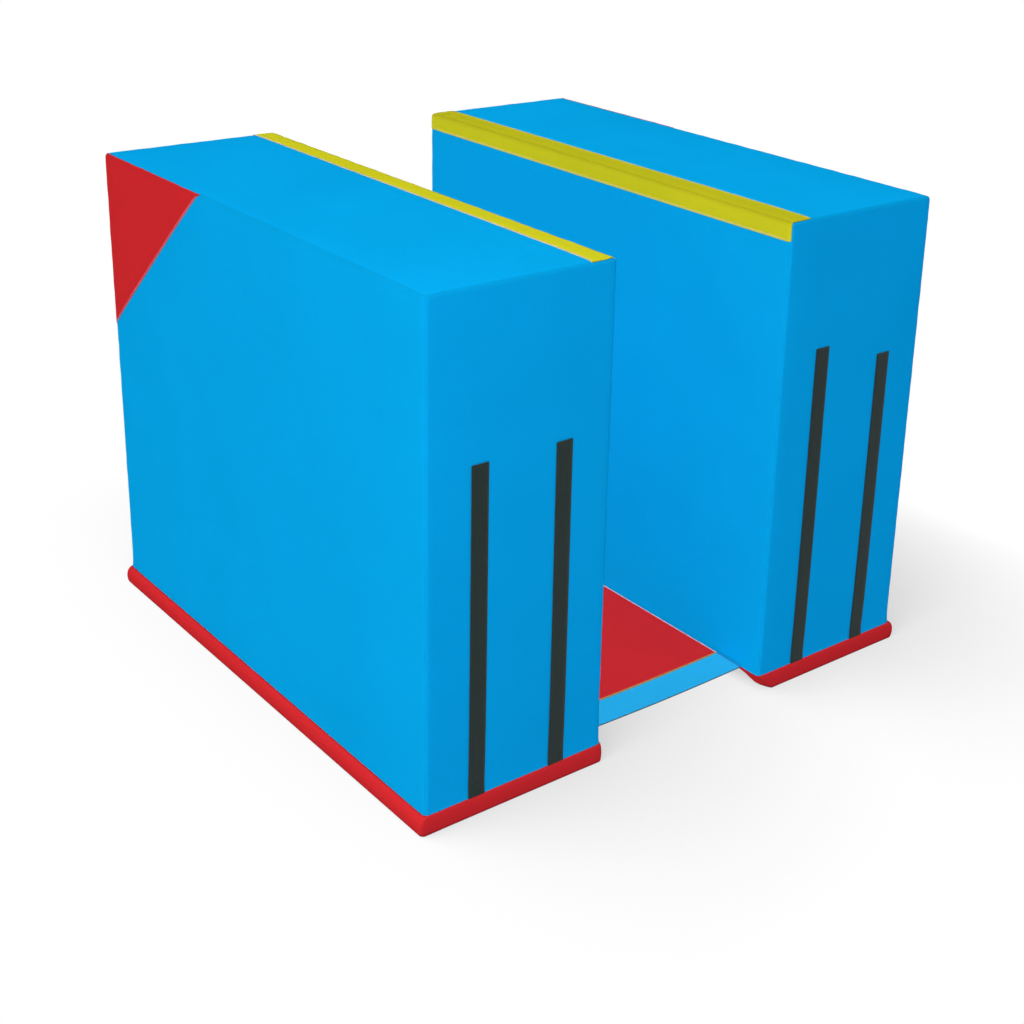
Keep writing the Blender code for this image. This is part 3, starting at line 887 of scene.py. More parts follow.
@dataclass
class CoverForm:
    """The surface of one block's cover, for the right block, standing over its own middle."""

    width: float = 0.400
    length: float = 1.200
    height: float = 1.000
    foot: float = 0.0393
    radius: float = 0.010
    round_steps: int = 4
    flare: float = 0.0015
    flare_height: float = 0.020
    flare_lines: tuple[float, ...] = (0.004, 0.009, 0.020)
    # The foot's corners are drawn out to the rim's crisp ones, and round off as they rise
    foot_radius: float = 0.007
    crisp_height: float = 0.070
    slot_half: float = 0.007
    slot_foot: float = 0.089
    slot_head: float = 0.939
    slot_hold: float = 0.030
    spacing: float = 0.020
    # How far the fabric swells over the foam at most, and how fast it nears that limit
    crown: float = 0.0035
    cap_rate: float = 2.0
    # What the simulation runs with
    pressure: float = 4.0
    frames: int = 20
    # How deep the sewn seams draw the edges in, at the seam and one and two rows away
    seam_depth: float = 0.0013
    seam_share: tuple[float, ...] = (1.0, 0.40, 0.08)
    # How much painted shade darkens the seams along the top edges, at the seam and one row away
    seam_painted_shade: tuple[float, ...] = (0.35, 0.15)
    # The puckers along the seams: height, length, how far in they fade, and where each of the
    # three ways an edge may lie starts in the noise
    pucker: float = 0.0009
    pucker_length: float = 0.036
    pucker_reach: float = 0.050
    pucker_starts: tuple[float, float, float] = (3.0, 5.0, 7.0)
    wave: float = 0.0009
    wave_length: float = 0.300
    closed: Mesh = field(init=False)
    surface: Mesh = field(init=False)

    def __post_init__(self) -> None:
        """Build the closed form for the foam and the fine surface for the fabric."""
        self.closed = self.scored_box()
        self.mark_parts(self.closed)
        self.flare_out(self.closed)
        self.swell(self.closed)
        self.surface = self.fine_surface()
        self.mark_painted_shade(self.surface)
        self.draw_seams(self.surface)
        self.ruffle(self.surface)
        log.info("cover form: %d faces", len(self.surface.faces))

    @property
    def half(self) -> Vector:
        """Half the width and half the length, as a vector."""
        return Vector((self.width / 2, self.length / 2))

    def scored_box(self) -> Mesh:
        """Make a box with rounded edges, lines scored for bending, and the zip slot's outline.

        Returns:
            The box, closed on all sides.
        """
        bm = standing_box(self.width, self.length, self.foot, self.height)
        upper = [edge for edge in bm.edges if any(v.co.z > self.foot + WELD for v in edge.verts)]
        round_off(bm, upper, self.radius, self.round_steps)
        across, along = self.half.x - self.radius, self.half.y - self.radius
        slot = (-self.slot_half, self.slot_half)
        flared = [self.foot + line for line in self.flare_lines]
        cut_along(bm, 0, grid_lines(-across, across, self.spacing, slot))
        cut_along(bm, 1, grid_lines(-along, along, self.spacing))
        cut_along(bm, 2, flared)
        cut_along(bm, 2, grid_lines(
            flared[-1], self.height - self.radius, self.spacing, (self.slot_foot, self.slot_head),
        ))
        return bm

    def mark_parts(self, bm: Mesh) -> None:
        """Write on each face which part of the cover it belongs to, from the way it faces.

        Args:
            bm: The closed form.
        """
        layer = bm.faces.layers.int.new(PART)
        bm.normal_update()
        for face in bm.faces:
            axis = max(range(3), key=lambda i: abs(face.normal[i]) * FACING_WEIGHTS[i])
            face[layer] = FACING[axis, face.normal[axis] > 0]
            middle = face.calc_center_median()
            in_slot = abs(middle.x) < self.slot_half and self.slot_foot < middle.z < self.slot_head
            if face[layer] == Part.REAR and in_slot:
                face[layer] = Part.ZIP_SLOT

    def flare_out(self, bm: Mesh) -> None:
        """Lead the foot of the walls out to the rim, and its corners to the rim's corners.

        Args:
            bm: The closed form.
        """
        reach_x, reach_y = self.half.x - self.radius, self.half.y - self.radius
        for vert in bm.verts:
            above = vert.co.z - self.foot
            inside = Vector((
                max(-reach_x, min(reach_x, vert.co.x)),
                max(-reach_y, min(reach_y, vert.co.y)),
                vert.co.z,
            ))
            away = vert.co - inside
            if above > self.crisp_height or away.length < self.radius / 2:
                continue
            offset = self.flare * max(0.0, 1.0 - above / self.flare_height) ** 2
            crisp = (self.radius - self.foot_radius) * (1.0 - above / self.crisp_height) ** 2
            corner = Vector((sign(away.x), sign(away.y), 0.0)) * crisp
            vert.co = inside + corner + away.normalized() * (self.radius - crisp + offset)

    def is_held(self, point: Vector) -> bool:
        """Whether the simulation holds a point: on a rounded edge, the foot or beside the zip.

        Args:
            point: The point on the closed form.

        Returns:
            True where the point is held.
        """
        beyond = (
            (abs(point.x) > self.half.x - self.radius - WELD)
            + (abs(point.y) > self.half.y - self.radius - WELD)
            + (point.z > self.height - self.radius - WELD)
        )
        by_zip = (
            point.y > self.half.y - self.radius
            and abs(point.x) < self.slot_hold
            and self.slot_foot - self.slot_hold < point.z < self.slot_head + self.slot_hold
        )
        return beyond > 1 or point.z < self.foot + self.flare_height + WELD or by_zip

    def swell(self, bm: Mesh) -> None:
        """Blow the fabric out by a cloth simulation, and cap how far it may stand proud.

        Args:
            bm: The closed form, whose points are moved.
        """
        obj = temporary_object(bm, "fabric_to_swell")
        held = obj.vertex_groups.new(name="held")
        held.add([v.index for v in obj.data.vertices if self.is_held(v.co)], 1.0, "REPLACE")
        modifier = obj.modifiers.new("swell", "CLOTH")
        cloth = modifier.settings
        cloth.quality = 6
        cloth.mass = 0.4
        cloth.tension_stiffness = cloth.compression_stiffness = 40.0
        cloth.shear_stiffness = 20.0
        cloth.bending_stiffness = 6.0
        cloth.vertex_group_mass = held.name
        cloth.use_pressure = True
        cloth.uniform_pressure_force = self.pressure
        cloth.effector_weights.gravity = 0.0
        modifier.point_cache.frame_start = 1
        modifier.point_cache.frame_end = self.frames
        for number in range(1, self.frames + 1):
            bpy.context.scene.frame_set(number)
        swollen = evaluated_mesh(obj)
        bm.verts.ensure_lookup_table()
        moves = [v.co - bm.verts[v.index].co for v in swollen.vertices]
        furthest = max(move.length for move in moves)
        for vert, move in zip(bm.verts, moves):
            if move.length > WELD:
                share = math.tanh(self.cap_rate * move.length / furthest)
                vert.co += move.normalized() * self.crown * share
        bpy.context.scene.frame_set(1)
        bpy.data.objects.remove(obj)
        log.info("cloth simulation: moved up to %.1f mm, capped", furthest * 1000)

    def fine_surface(self) -> Mesh:
        """Split the surface finer, without its underside and the slot for the zip.

        Returns:
            The fine surface.
        """
        bm = self.closed.copy()
        layer = bm.faces.layers.int[PART]
        gone = [face for face in bm.faces if face[layer] in (Part.UNDERSIDE, Part.ZIP_SLOT)]
        bmesh.ops.delete(bm, geom=gone, context="FACES")
        return subdivided(bm)

    def seam_rows(self, bm: Mesh, count: int) -> list[set[bmesh.types.BMVert]]:
        """Find the rows of points at the seams between the panels and beside them.

        Args:
            bm: The fine surface.
            count: How many rows to find.

        Returns:
            The row at the seams, then the rows on both sides of it, one step further each.
        """
        layer = bm.faces.layers.int[PART]
        rows = [{v for v in bm.verts if len({face[layer] for face in v.link_faces}) > 1}]
        done = set(rows[0])
        while len(rows) < count:
            beside = {edge.other_vert(vert) for vert in rows[-1] for edge in vert.link_edges}
            rows.append(beside - done)
            done |= beside
        return rows

    def mark_painted_shade(self, bm: Mesh) -> None:
        """Write on each point its painted shade, over the top edges and at their seams.

        Args:
            bm: The fine surface.
        """
        layer = bm.verts.layers.float.new(PAINTED_SHADE)
        bm.normal_update()
        for vert in bm.verts:
            # 1 where the surface leans at 45 degrees, and 0 where it is level or upright
            rise = max(0.0, vert.normal.z)
            vert[layer] = 2.0 * rise * math.sqrt(max(0.0, 1.0 - rise * rise))
        near_top = self.height - 2.0 * self.radius
        for row, seam_shade in zip(self.seam_rows(bm, len(self.seam_painted_shade)), self.seam_painted_shade):
            for vert in row:
                if vert.co.z > near_top:
                    vert[layer] += seam_shade

    def draw_seams(self, bm: Mesh) -> None:
        """Pull the surface in along the seams between the panels.

        Args:
            bm: The fine surface.
        """
        bm.normal_update()
        rows = self.seam_rows(bm, len(self.seam_share))
        moves = [
            (vert, vert.normal * -self.seam_depth * share)
            for row, share in zip(rows, self.seam_share) for vert in row
        ]
        for vert, move in moves:
            vert.co += move

    def ruffle(self, bm: Mesh) -> None:
        """Give the panels shallow waves, and small puckers where the seams gather them.

        Args:
            bm: The fine surface.
        """
        bm.normal_update()
        moves = []
        by_x, by_y, by_top = self.pucker_starts
        for vert in bm.verts:
            point = vert.co
            edges = [
                (self.half.x - abs(point.x), point.y + point.z, math.copysign(by_x, point.x)),
                (self.half.y - abs(point.y), point.x + point.z, math.copysign(by_y, point.y)),
                (self.height - point.z, point.x + point.y, by_top),
            ]
            # The nearest of these is the face that the point lies on
            edges.remove(min(edges))
            height = 0.0
            for away, along, start in edges:
                fade = math.exp(-away / self.pucker_reach)
                spot = Vector((along / self.pucker_length, away / self.wave_length, start))
                height += self.pucker * fade * noise.noise(spot)
            inside = min(1.0, min(edge[0] for edge in edges) / (self.wave_length / 2))
            height += self.wave * inside * noise.noise(point / self.wave_length)
            low = min(1.0, (point.z - self.foot) / self.flare_height)
            moves.append((vert, vert.normal * height * max(0.0, low)))
        for vert, move in moves:
            vert.co += move

    def part_surface(self, parts: Sequence[Part]) -> Mesh:
        """Copy the fine surface of some parts of the cover.

        Args:
            parts: The parts to keep.

        Returns:
            The copy.
        """
        bm = self.surface.copy()
        layer = bm.faces.layers.int[PART]
        others = [face for face in bm.faces if face[layer] not in parts]
        bmesh.ops.delete(bm, geom=others, context="FACES")
        return bm


def stamp(bm: Mesh, shape: bpy.types.Mesh, matrix: Matrix) -> None:
    """Add a copy of a small shape to a mesh.

    Args:
        bm: The mesh that gets the copy.
        shape: The shape to copy.
        matrix: Where the copy goes, and how it is turned and stretched.
    """
    made = shape.copy()
    made.transform(matrix)
    bm.from_mesh(made)
    bpy.data.meshes.remove(made)


@dataclass
class Thread:
    """Rows of stitches, each a short strand that lies on the surface."""

    pitch: float = 0.0065
    length: float = 0.0046
    thickness: float = 0.0011
    strand: bpy.types.Mesh = field(init=False)

    def __post_init__(self) -> None:
        """Make the strand that every stitch is a copy of."""
        bm = bmesh.new()
        matrix = Matrix.Diagonal((self.thickness / 2, self.thickness / 2, self.length / 2, 1.0))
        bmesh.ops.create_uvsphere(
            bm, u_segments=STRAND_SIDES, v_segments=STRAND_RINGS, radius=1.0, matrix=matrix,
        )
        self.strand = bpy.data.meshes.new("strand")
        bm.to_mesh(self.strand)
        bm.free()

    def row(
        self, bm: Mesh, tree: BVHTree, start: Vector, end: Vector, towards: Vector, rise: float
    ) -> None:
        """Lay one straight row on a surface.

        Args:
            bm: The mesh that gets the stitches.
            tree: The surface to lay them on.
            start: Where the row starts, in front of the surface.
            end: Where the row ends, in front of the surface.
            towards: The direction from the row to the surface.
            rise: How far the stitches lie above the surface.
        """
        run = end - start
        count = max(1, int(run.length / self.pitch))
        for number in range(count):
            spot = start + run * ((number + 0.5) / count)
            found, normal, _, _ = tree.ray_cast(spot, towards)
            if found is None:
                continue
            along = (run - normal * run.dot(normal)).normalized()
            beside = normal.cross(along)
            turn = Matrix((beside, normal, along)).transposed().to_4x4()
            stamp(bm, self.strand, Matrix.Translation(found + normal * rise) @ turn)


@dataclass
class BlockWork:
    """What all the work on one block needs: its side, its place and its names."""

    side: Side
    # How far the block's middle lies from the channel's
    centre: float = field(default=0.410, kw_only=True)

    @property
    def body(self) -> str:
        """The body that the block moves with."""
        return self.named("block")

    def named(self, name: str) -> str:
        """A piece's, a node's or a body's name on this block."""
        return f"{self.side.word}_{name}"

    def placed(self, bm: Mesh) -> Mesh:
        """Turn a mesh built for the right block to this side, and move it to the block's place.

        Args:
            bm: The mesh, with the outer side of the block along +X.

        Returns:
            The same mesh.
        """
        if self.side is Side.LEFT:
            bmesh.ops.scale(bm, vec=(-1.0, 1.0, 1.0), verts=bm.verts)
            bmesh.ops.reverse_faces(bm, faces=bm.faces[:])
        bmesh.ops.translate(bm, vec=(self.side.value * self.centre, 0.0, 0.0), verts=bm.verts)
        return bm


@dataclass
class BlockDressing(BlockWork):
    """Everything that shows on one block: foam, cover panels, coloured trim and thread."""

    form: CoverForm
    fabric: float = 0.0012
    trim_gap: float = 0.0003
    trim_fabric: float = 0.0010
    foam_gap: float = 0.0036
    slab_joints: tuple[float, ...] = (0.359, 0.679)
    glue_gap: float = 0.0003
    stripe_on_top: float = 0.056
    stripe_on_side: float = 0.037
    # How much painted shade darkens the right block's stripe where it lies level
    level_shade: float = 1.1
    # How far the stripe stops short of the block's ends, at its edge on the top and at its fold
    stripe_short: tuple[float, float] = (0.002, 0.003)
    left_stripe_short: tuple[float, float] = (0.002, 0.010)
    patch_along: float = 0.430
    patch_down: float = 0.380
    patch_below: float = 0.0025
    strip_width: float = 0.035
    strip_spacing: float = 0.180
    strip_length: float = 0.650
    long_strip: str = "right_front_strip_inner"
    long_strip_length: float = 0.695
    strip_fabric: float = 0.0020
    strip_rounding: float = 0.0005
    stitch_inset: float = 0.0030
    thread: Thread = field(default_factory=Thread)
    tree: BVHTree = field(init=False)

    def __post_init__(self) -> None:
        """Get the surface that the stitches are laid on."""
        self.tree = BVHTree.FromBMesh(self.form.surface)

    def build(self) -> None:
        """Make every piece of the block."""
        self.build_foam()
        self.build_panels()
        self.build_stripe()
        self.build_patch()
        self.build_strips()
        self.build_zip_stitching()

    def build_foam(self) -> None:
        """Make the three foam slabs that fill the cover."""
        heights = [self.form.foot, *self.slab_joints, self.form.height]
        for name, low, high in zip(("lower", "middle", "upper"), heights, heights[1:]):
            bm = self.form.closed.copy()
            lifted(bm, -self.foam_gap)
            if low > self.form.foot:
                keep_behind(bm, UP * (low + self.glue_gap), -UP, close=True)
            if high < self.form.height:
                keep_behind(bm, UP * high, UP, close=True)
            node = self.named(f"core_{name}")
            piece = add_piece(f"{node}_foam", self.placed(bm), Fitting(
                [SOFT_FOAM], self.body, [node], "soft_foam",
            ))

    def build_panels(self) -> None:
        """Make the five panels of the sewn cover."""
        tall = self.form.height - self.form.foot
        cuts = {
            Part.TOP: (self.form.width, self.form.length),
            Part.OUTER: (self.form.length, tall),
            Part.INNER: (self.form.length, tall),
            Part.FRONT: (self.form.width, tall),
            Part.REAR: (self.form.width, tall),
        }
        for part, flat in cuts.items():
            node = self.named(f"{part.name.lower()}_panel")
            bm = self.placed(self.form.part_surface([part]))
            piece = add_piece(f"{node}_fabric", bm, Fitting(
                [BLUE], self.body, [node], "blue_vinyl", thickness=self.fabric,
            ))
            self.named("core_upper_foam")

    def build_stripe(self) -> None:
        """Make the yellow stripe round the inner top edge, with a row of thread down each side."""
        edge_x = -self.form.width / 2 + self.stripe_on_top
        edge_z = self.form.height - self.stripe_on_side
        bm = self.form.part_surface([Part.TOP, Part.INNER])
        keep_behind(bm, ACROSS * edge_x, ACROSS)
        keep_behind(bm, UP * edge_z, -UP)
        at_edge, at_fold = self.left_stripe_short if self.side is Side.LEFT else self.stripe_short
        slant = (at_edge - at_fold) / self.stripe_on_top
        for facing in (-1.0, 1.0):
            corner = Vector((edge_x, facing * (self.form.half.y - at_edge), 0.0))
            keep_behind(bm, corner, Vector((slant, facing, 0.0)))
        # The right block's stripe gets painted shade where it lies level
        if self.side is Side.RIGHT:
            self.shade_level_part(bm)
        node = self.named("edge_stripe")
        piece = self.add_trim(f"{node}_fabric", bm, YELLOW, node, "yellow_vinyl")
        self.hide_cut_edges(piece, seen=(ACROSS, UP))
        self.named("top_panel_fabric")
        reach = self.form.half.y - self.form.radius
        top_x = edge_x - self.stitch_inset
        side_z = edge_z + self.stitch_inset
        clear = self.form.height + self.form.radius
        beyond = -self.form.width
        rows = (
            (Vector((top_x, -reach, clear)), Vector((top_x, reach, clear)), -UP),
            (Vector((beyond, -reach, side_z)), Vector((beyond, reach, side_z)), ACROSS),
        )
        self.add_stitching(f"{node}_stitching", rows, self.trim_rise(), PALE_THREAD)

    def shade_level_part(self, bm: Mesh) -> None:
        """Paint shade on the stripe on the top, and less and less over the edge.

        Args:
            bm: The stripe's surface.
        """
        layer = bm.verts.layers.float[PAINTED_SHADE]
        bm.normal_update()
        for vert in bm.verts:
            vert[layer] += self.level_shade * max(0.0, vert.normal.z)

    def build_patch(self) -> None:
        """Make the red patch in the outer face's top rear corner, with thread on its diagonal."""
        tip = Vector((0.0, self.form.half.y - self.patch_along, self.form.height))
        low = Vector((0.0, self.form.half.y, self.form.height - self.patch_down))
        down = (low - tip).normalized()
        outward = Vector((0.0, down.z, -down.y))
        bm = self.form.part_surface([Part.OUTER])
        keep_behind(bm, tip, outward)
        keep_behind(bm, UP * (self.form.height - self.patch_below), UP)
        node = self.named("corner_patch")
        piece = self.add_trim(f"{node}_fabric", bm, RED, node, "red_vinyl")
        self.hide_cut_edges(piece, seen=(outward,))
        self.named("outer_panel_fabric")
        inset = ACROSS * self.form.width - outward * self.stitch_inset
        trim = down * self.form.radius
        row = (tip + inset + trim, low + inset - trim, -ACROSS)
        self.add_stitching(f"{node}_stitching", (row,), self.trim_rise(), PALE_THREAD)

    def trim_rise(self) -> float:
        """How far the stitches on a trim lie above the panel."""
        return self.trim_gap + self.trim_fabric

    def add_trim(
        self, name: str, bm: Mesh, finish: CoatedFabric, node: str, slot: str
    ) -> bpy.types.Object:
        """Lay a layer of fabric on a panel, with its cut edge showing.

        Args:
            name: The piece's name.
            bm: The part of the panel's surface that it covers.
            finish: The fabric.
            node: The CAD node that it stands for.
            slot: The name of a material slot; it is kept on the fitting and not used.

        Returns:
            The piece.
        """
        lifted(bm, self.trim_rise())
        return add_piece(name, self.placed(bm), Fitting(
            [finish, PALE_EDGE], self.body, [node], slot, thickness=self.trim_fabric,
        ))

    def hide_cut_edges(self, piece: bpy.types.Object, seen: Sequence[Vector]) -> None:
        """Give a trim's edges the fabric's own colour where they are caught in a seam.

        Args:
            piece: The trim.
            seen: The directions in which its open cut edges face, either way.
        """
        for face in piece.data.polygons:
            open_cut = any(abs(face.normal.dot(way)) > SAME_WAY for way in seen)
            if face.material_index and not open_cut:
                face.material_index = 0

    def add_stitching(
        self, name: str, rows: Iterable[tuple[Vector, Vector, Vector]], rise: float,
        finish: SpunThread,
    ) -> None:
        """Make one piece of several rows of thread.

        Args:
            name: The piece's name.
            rows: Each row's start, end and direction to the surface.
            rise: How far the stitches lie above the panel.
            finish: The thread.
        """
        bm = bmesh.new()
        for start, end, towards in rows:
            self.thread.row(bm, self.tree, start, end, towards, rise)
        add_piece(name, self.placed(bm), Fitting([finish], self.body))

    def build_strips(self) -> None:
        """Make the hook-and-loop strips, two on each end, each sewn down both sides."""
        for end, facing in ((Part.FRONT, -1.0), (Part.REAR, 1.0)):
            for place, sideways in (("outer", 1.0), ("inner", -1.0)):
                middle = sideways * self.strip_spacing / 2
                self.build_strip(end, facing, f"{end.name.lower()}_strip_{place}", middle)

    def build_strip(self, end: Part, facing: float, name: str, middle: float) -> None:
        """Make one strip.

        Args:
            end: The panel that it is sewn on.
            facing: The direction along Y in which that panel faces.
            name: The strip's name on its block.
            middle: Where its middle lies along X on the form.
        """
        node = self.named(name)
        bm = self.form.part_surface([end])
        length = self.long_strip_length if node == self.long_strip else self.strip_length
        head = self.form.foot + length
        keep_behind(bm, ACROSS * (middle + self.strip_width / 2), ACROSS)
        keep_behind(bm, ACROSS * (middle - self.strip_width / 2), -ACROSS)
        keep_behind(bm, UP * head, UP)
        rise = self.trim_gap + self.strip_fabric
        lifted(bm, rise)
        add_piece(f"{node}_tape", self.placed(bm), Fitting(
            [TAPE], self.body, [node], "hook_and_loop", thickness=self.strip_fabric,
            rounding=self.strip_rounding,
        ))
        inset = self.strip_width / 2 - self.stitch_inset
        beyond = facing * self.form.length
        low = self.form.foot + self.stitch_inset
        high = head - self.stitch_inset
        corners = [
            Vector((middle - inset, beyond, low)), Vector((middle - inset, beyond, high)),
            Vector((middle + inset, beyond, high)), Vector((middle + inset, beyond, low)),
        ]
        rows = [(start, stop, ALONG * -facing) for start, stop in zip(corners, corners[1:])]
        self.add_stitching(f"{node}_stitching", rows, rise, DARK_THREAD)

    def build_zip_stitching(self) -> None:
        """Sew the rear panel down on the zip tapes, round the slot."""
        aside = self.form.slot_half + self.stitch_inset
        low = self.form.slot_foot - self.stitch_inset
        high = self.form.slot_head + self.stitch_inset
        beyond = self.form.length
        corners = [
            Vector((-aside, beyond, low)), Vector((-aside, beyond, high)),
            Vector((aside, beyond, high)), Vector((aside, beyond, low)),
        ]
        rows = [(start, end, -ALONG) for start, end in zip(corners, corners[1:] + corners[:1])]
        self.add_stitching(self.named("zip_stitching"), rows, 0.0, BLUE_THREAD)


@dataclass
class BaseDressing(BlockWork):
    """The red base cover with its bulging rim, and the firm pad that fills it."""

    width: float = 0.400
    length: float = 1.200
    radius: float = 0.008
    round_steps: int = 6
    height: float = 0.0390
    widest_at: float = 0.018
    bulge: float = 0.014
    # Share of the bulge that is left beside the channel, where the flap pulls the rim flat,
    # and at the two ends
    inner_share: float = 0.15
    end_share: float = 0.35
    foot: float = 0.008
    lip: float = 0.0015
    tuck: float = 0.004
    levels: int = 9
    spacing: float = 0.030
    fabric: float = 0.0016
    pad_gap: float = 0.0023
    wave: float = 0.0007
    wave_length: float = 0.130
    # How far the flap draws the floor's edge of the right rim in at the front corner, and how far
    # back that reaches
    drawn_in: float = 0.038
    drawn_along: float = 0.055
    # How high it lifts that edge, at distances from the rim's front end
    lift: tuple[tuple[float, float], ...] = (
        (0.004, 0.0), (0.032, 0.005), (0.046, 0.037), (0.080, 0.037), (0.150, 0.0),
    )
    # How far in from the channel that fades out, and how far the pad stays out of it
    lift_fade: float = 0.080
    lift_clear: float = 0.050

    @property
    def half(self) -> Vector:
        """Half the width and half the length, as a vector."""
        return Vector((self.width / 2, self.length / 2))

    def offset_at(self, height: float) -> float:
        """Say how far the rim stands out from the block.

        Args:
            height: The height above the floor.

        Returns:
            The distance.
        """
        if height < self.widest_at:
            share = 1.0 - height / self.widest_at
            return self.foot + (self.bulge - self.foot) * math.sqrt(1.0 - share * share)
        share = min(1.0, (height - self.widest_at) / (self.height - self.widest_at))
        return self.lip + (self.bulge - self.lip) * math.sqrt(1.0 - share * share)

    def walls(self) -> Mesh:
        """Make a low round-cornered box whose walls follow the rim's bulge.

        Returns:
            The box, closed on all sides.
        """
        bm = standing_box(self.width, self.length, 0.0, self.height)
        upright = [e for e in bm.edges if abs(e.verts[0].co.z - e.verts[1].co.z) > WELD]
        round_off(bm, upright, self.radius, self.round_steps)
        across, along = self.half.x - self.radius, self.half.y - self.radius
        cut_along(bm, 0, grid_lines(-across, across, self.spacing))
        lifted_at = [place - self.half.y for place, _ in self.lift]
        cut_along(bm, 1, grid_lines(-along, along, self.spacing, lifted_at[1:]))
        rounds = [math.pi * step / self.levels for step in range(1, self.levels)]
        cut_along(bm, 2, [self.height * (1.0 - math.cos(angle)) / 2 for angle in rounds])
        for vert in bm.verts:
            ripple = self.wave * noise.noise(vert.co / self.wave_length)
            # 1 half-way up, and 0 at the floor and at the lip
            midway = 4.0 * vert.co.z * (self.height - vert.co.z) / self.height ** 2
            offset = self.offset_at(vert.co.z) + ripple * midway
            inner, end = (
                self.lip + (offset - self.lip) * share
                for share in (self.inner_share, self.end_share)
            )
            vert.co.x *= 1.0 + (offset if vert.co.x > 0.0 else inner) / self.half.x
            vert.co.y *= 1.0 + end / self.half.y
        return bm

    def lift_corner(self, bm: Mesh) -> None:
        """Lift the floor's edge behind the right rim's front corner, where the flap pulls on it.

        Args:
            bm: The walls, or the pad's form.
        """
        if self.side is Side.LEFT:
            return
        for vert in bm.verts:
            along = vert.co.y + self.half.y
            near_floor = 1.0 - vert.co.z / self.height
            drawn = self.drawn_in * near_floor * (1.0 - along / self.drawn_along)
            if drawn > 0.0:
                vert.co.x = max(vert.co.x, drawn - self.half.x)
            share = max(0.0, 1.0 - max(0.0, vert.co.x + self.half.x) / self.lift_fade)
            for (start, low), (stop, high) in zip(self.lift, self.lift[1:]):
                if start < along <= stop:
                    lift = share * (low + (high - low) * (along - start) / (stop - start))
                    vert.co.z = lift + vert.co.z * (1.0 - lift / self.height)
                    break

    def build(self) -> None:
        """Make the base cover and its pad."""
        self.build_cover()
        self.build_pad()

    def build_cover(self) -> None:
        """Make the tray of fabric, with its lip tucked in under the block's cover."""
        bm = self.walls()
        self.lift_corner(bm)
        bm.normal_update()
        roof = [f for f in bm.faces if f.calc_center_median().z > self.height - WELD]
        bmesh.ops.delete(bm, geom=roof, context="FACES")
        lip = [edge for edge in bm.edges if edge.is_boundary]
        made = bmesh.ops.extrude_edge_only(bm, edges=lip)
        for item in made["geom"]:
            if isinstance(item, bmesh.types.BMVert):
                item.co.x *= 1.0 - self.tuck / self.half.x
                item.co.y *= 1.0 - self.tuck / self.half.y
        node = self.named("base_cover")
        bm = subdivided(bm)
        piece = add_piece(f"{node}_fabric", self.placed(bm), Fitting(
            [RED], self.body, [node], "red_vinyl", thickness=self.fabric,
        ))
        self.named("base_pad_foam")

    def build_pad(self) -> None:
        """Make the firm pad inside the tray."""
        node = self.named("base_pad")
        bm = lifted(self.walls(), -self.pad_gap)
        inside = self.lift_clear - self.half.x
        lift_ends = self.lift[-1][0]
        for vert in bm.verts:
            if self.side is Side.RIGHT and vert.co.y + self.half.y < lift_ends:
                vert.co.x = max(vert.co.x, inside)
        self.lift_corner(bm)
        piece = add_piece(f"{node}_foam", self.placed(bm), Fitting(
            [FIRM_FOAM], self.body, [node], "firm_foam",
        ))


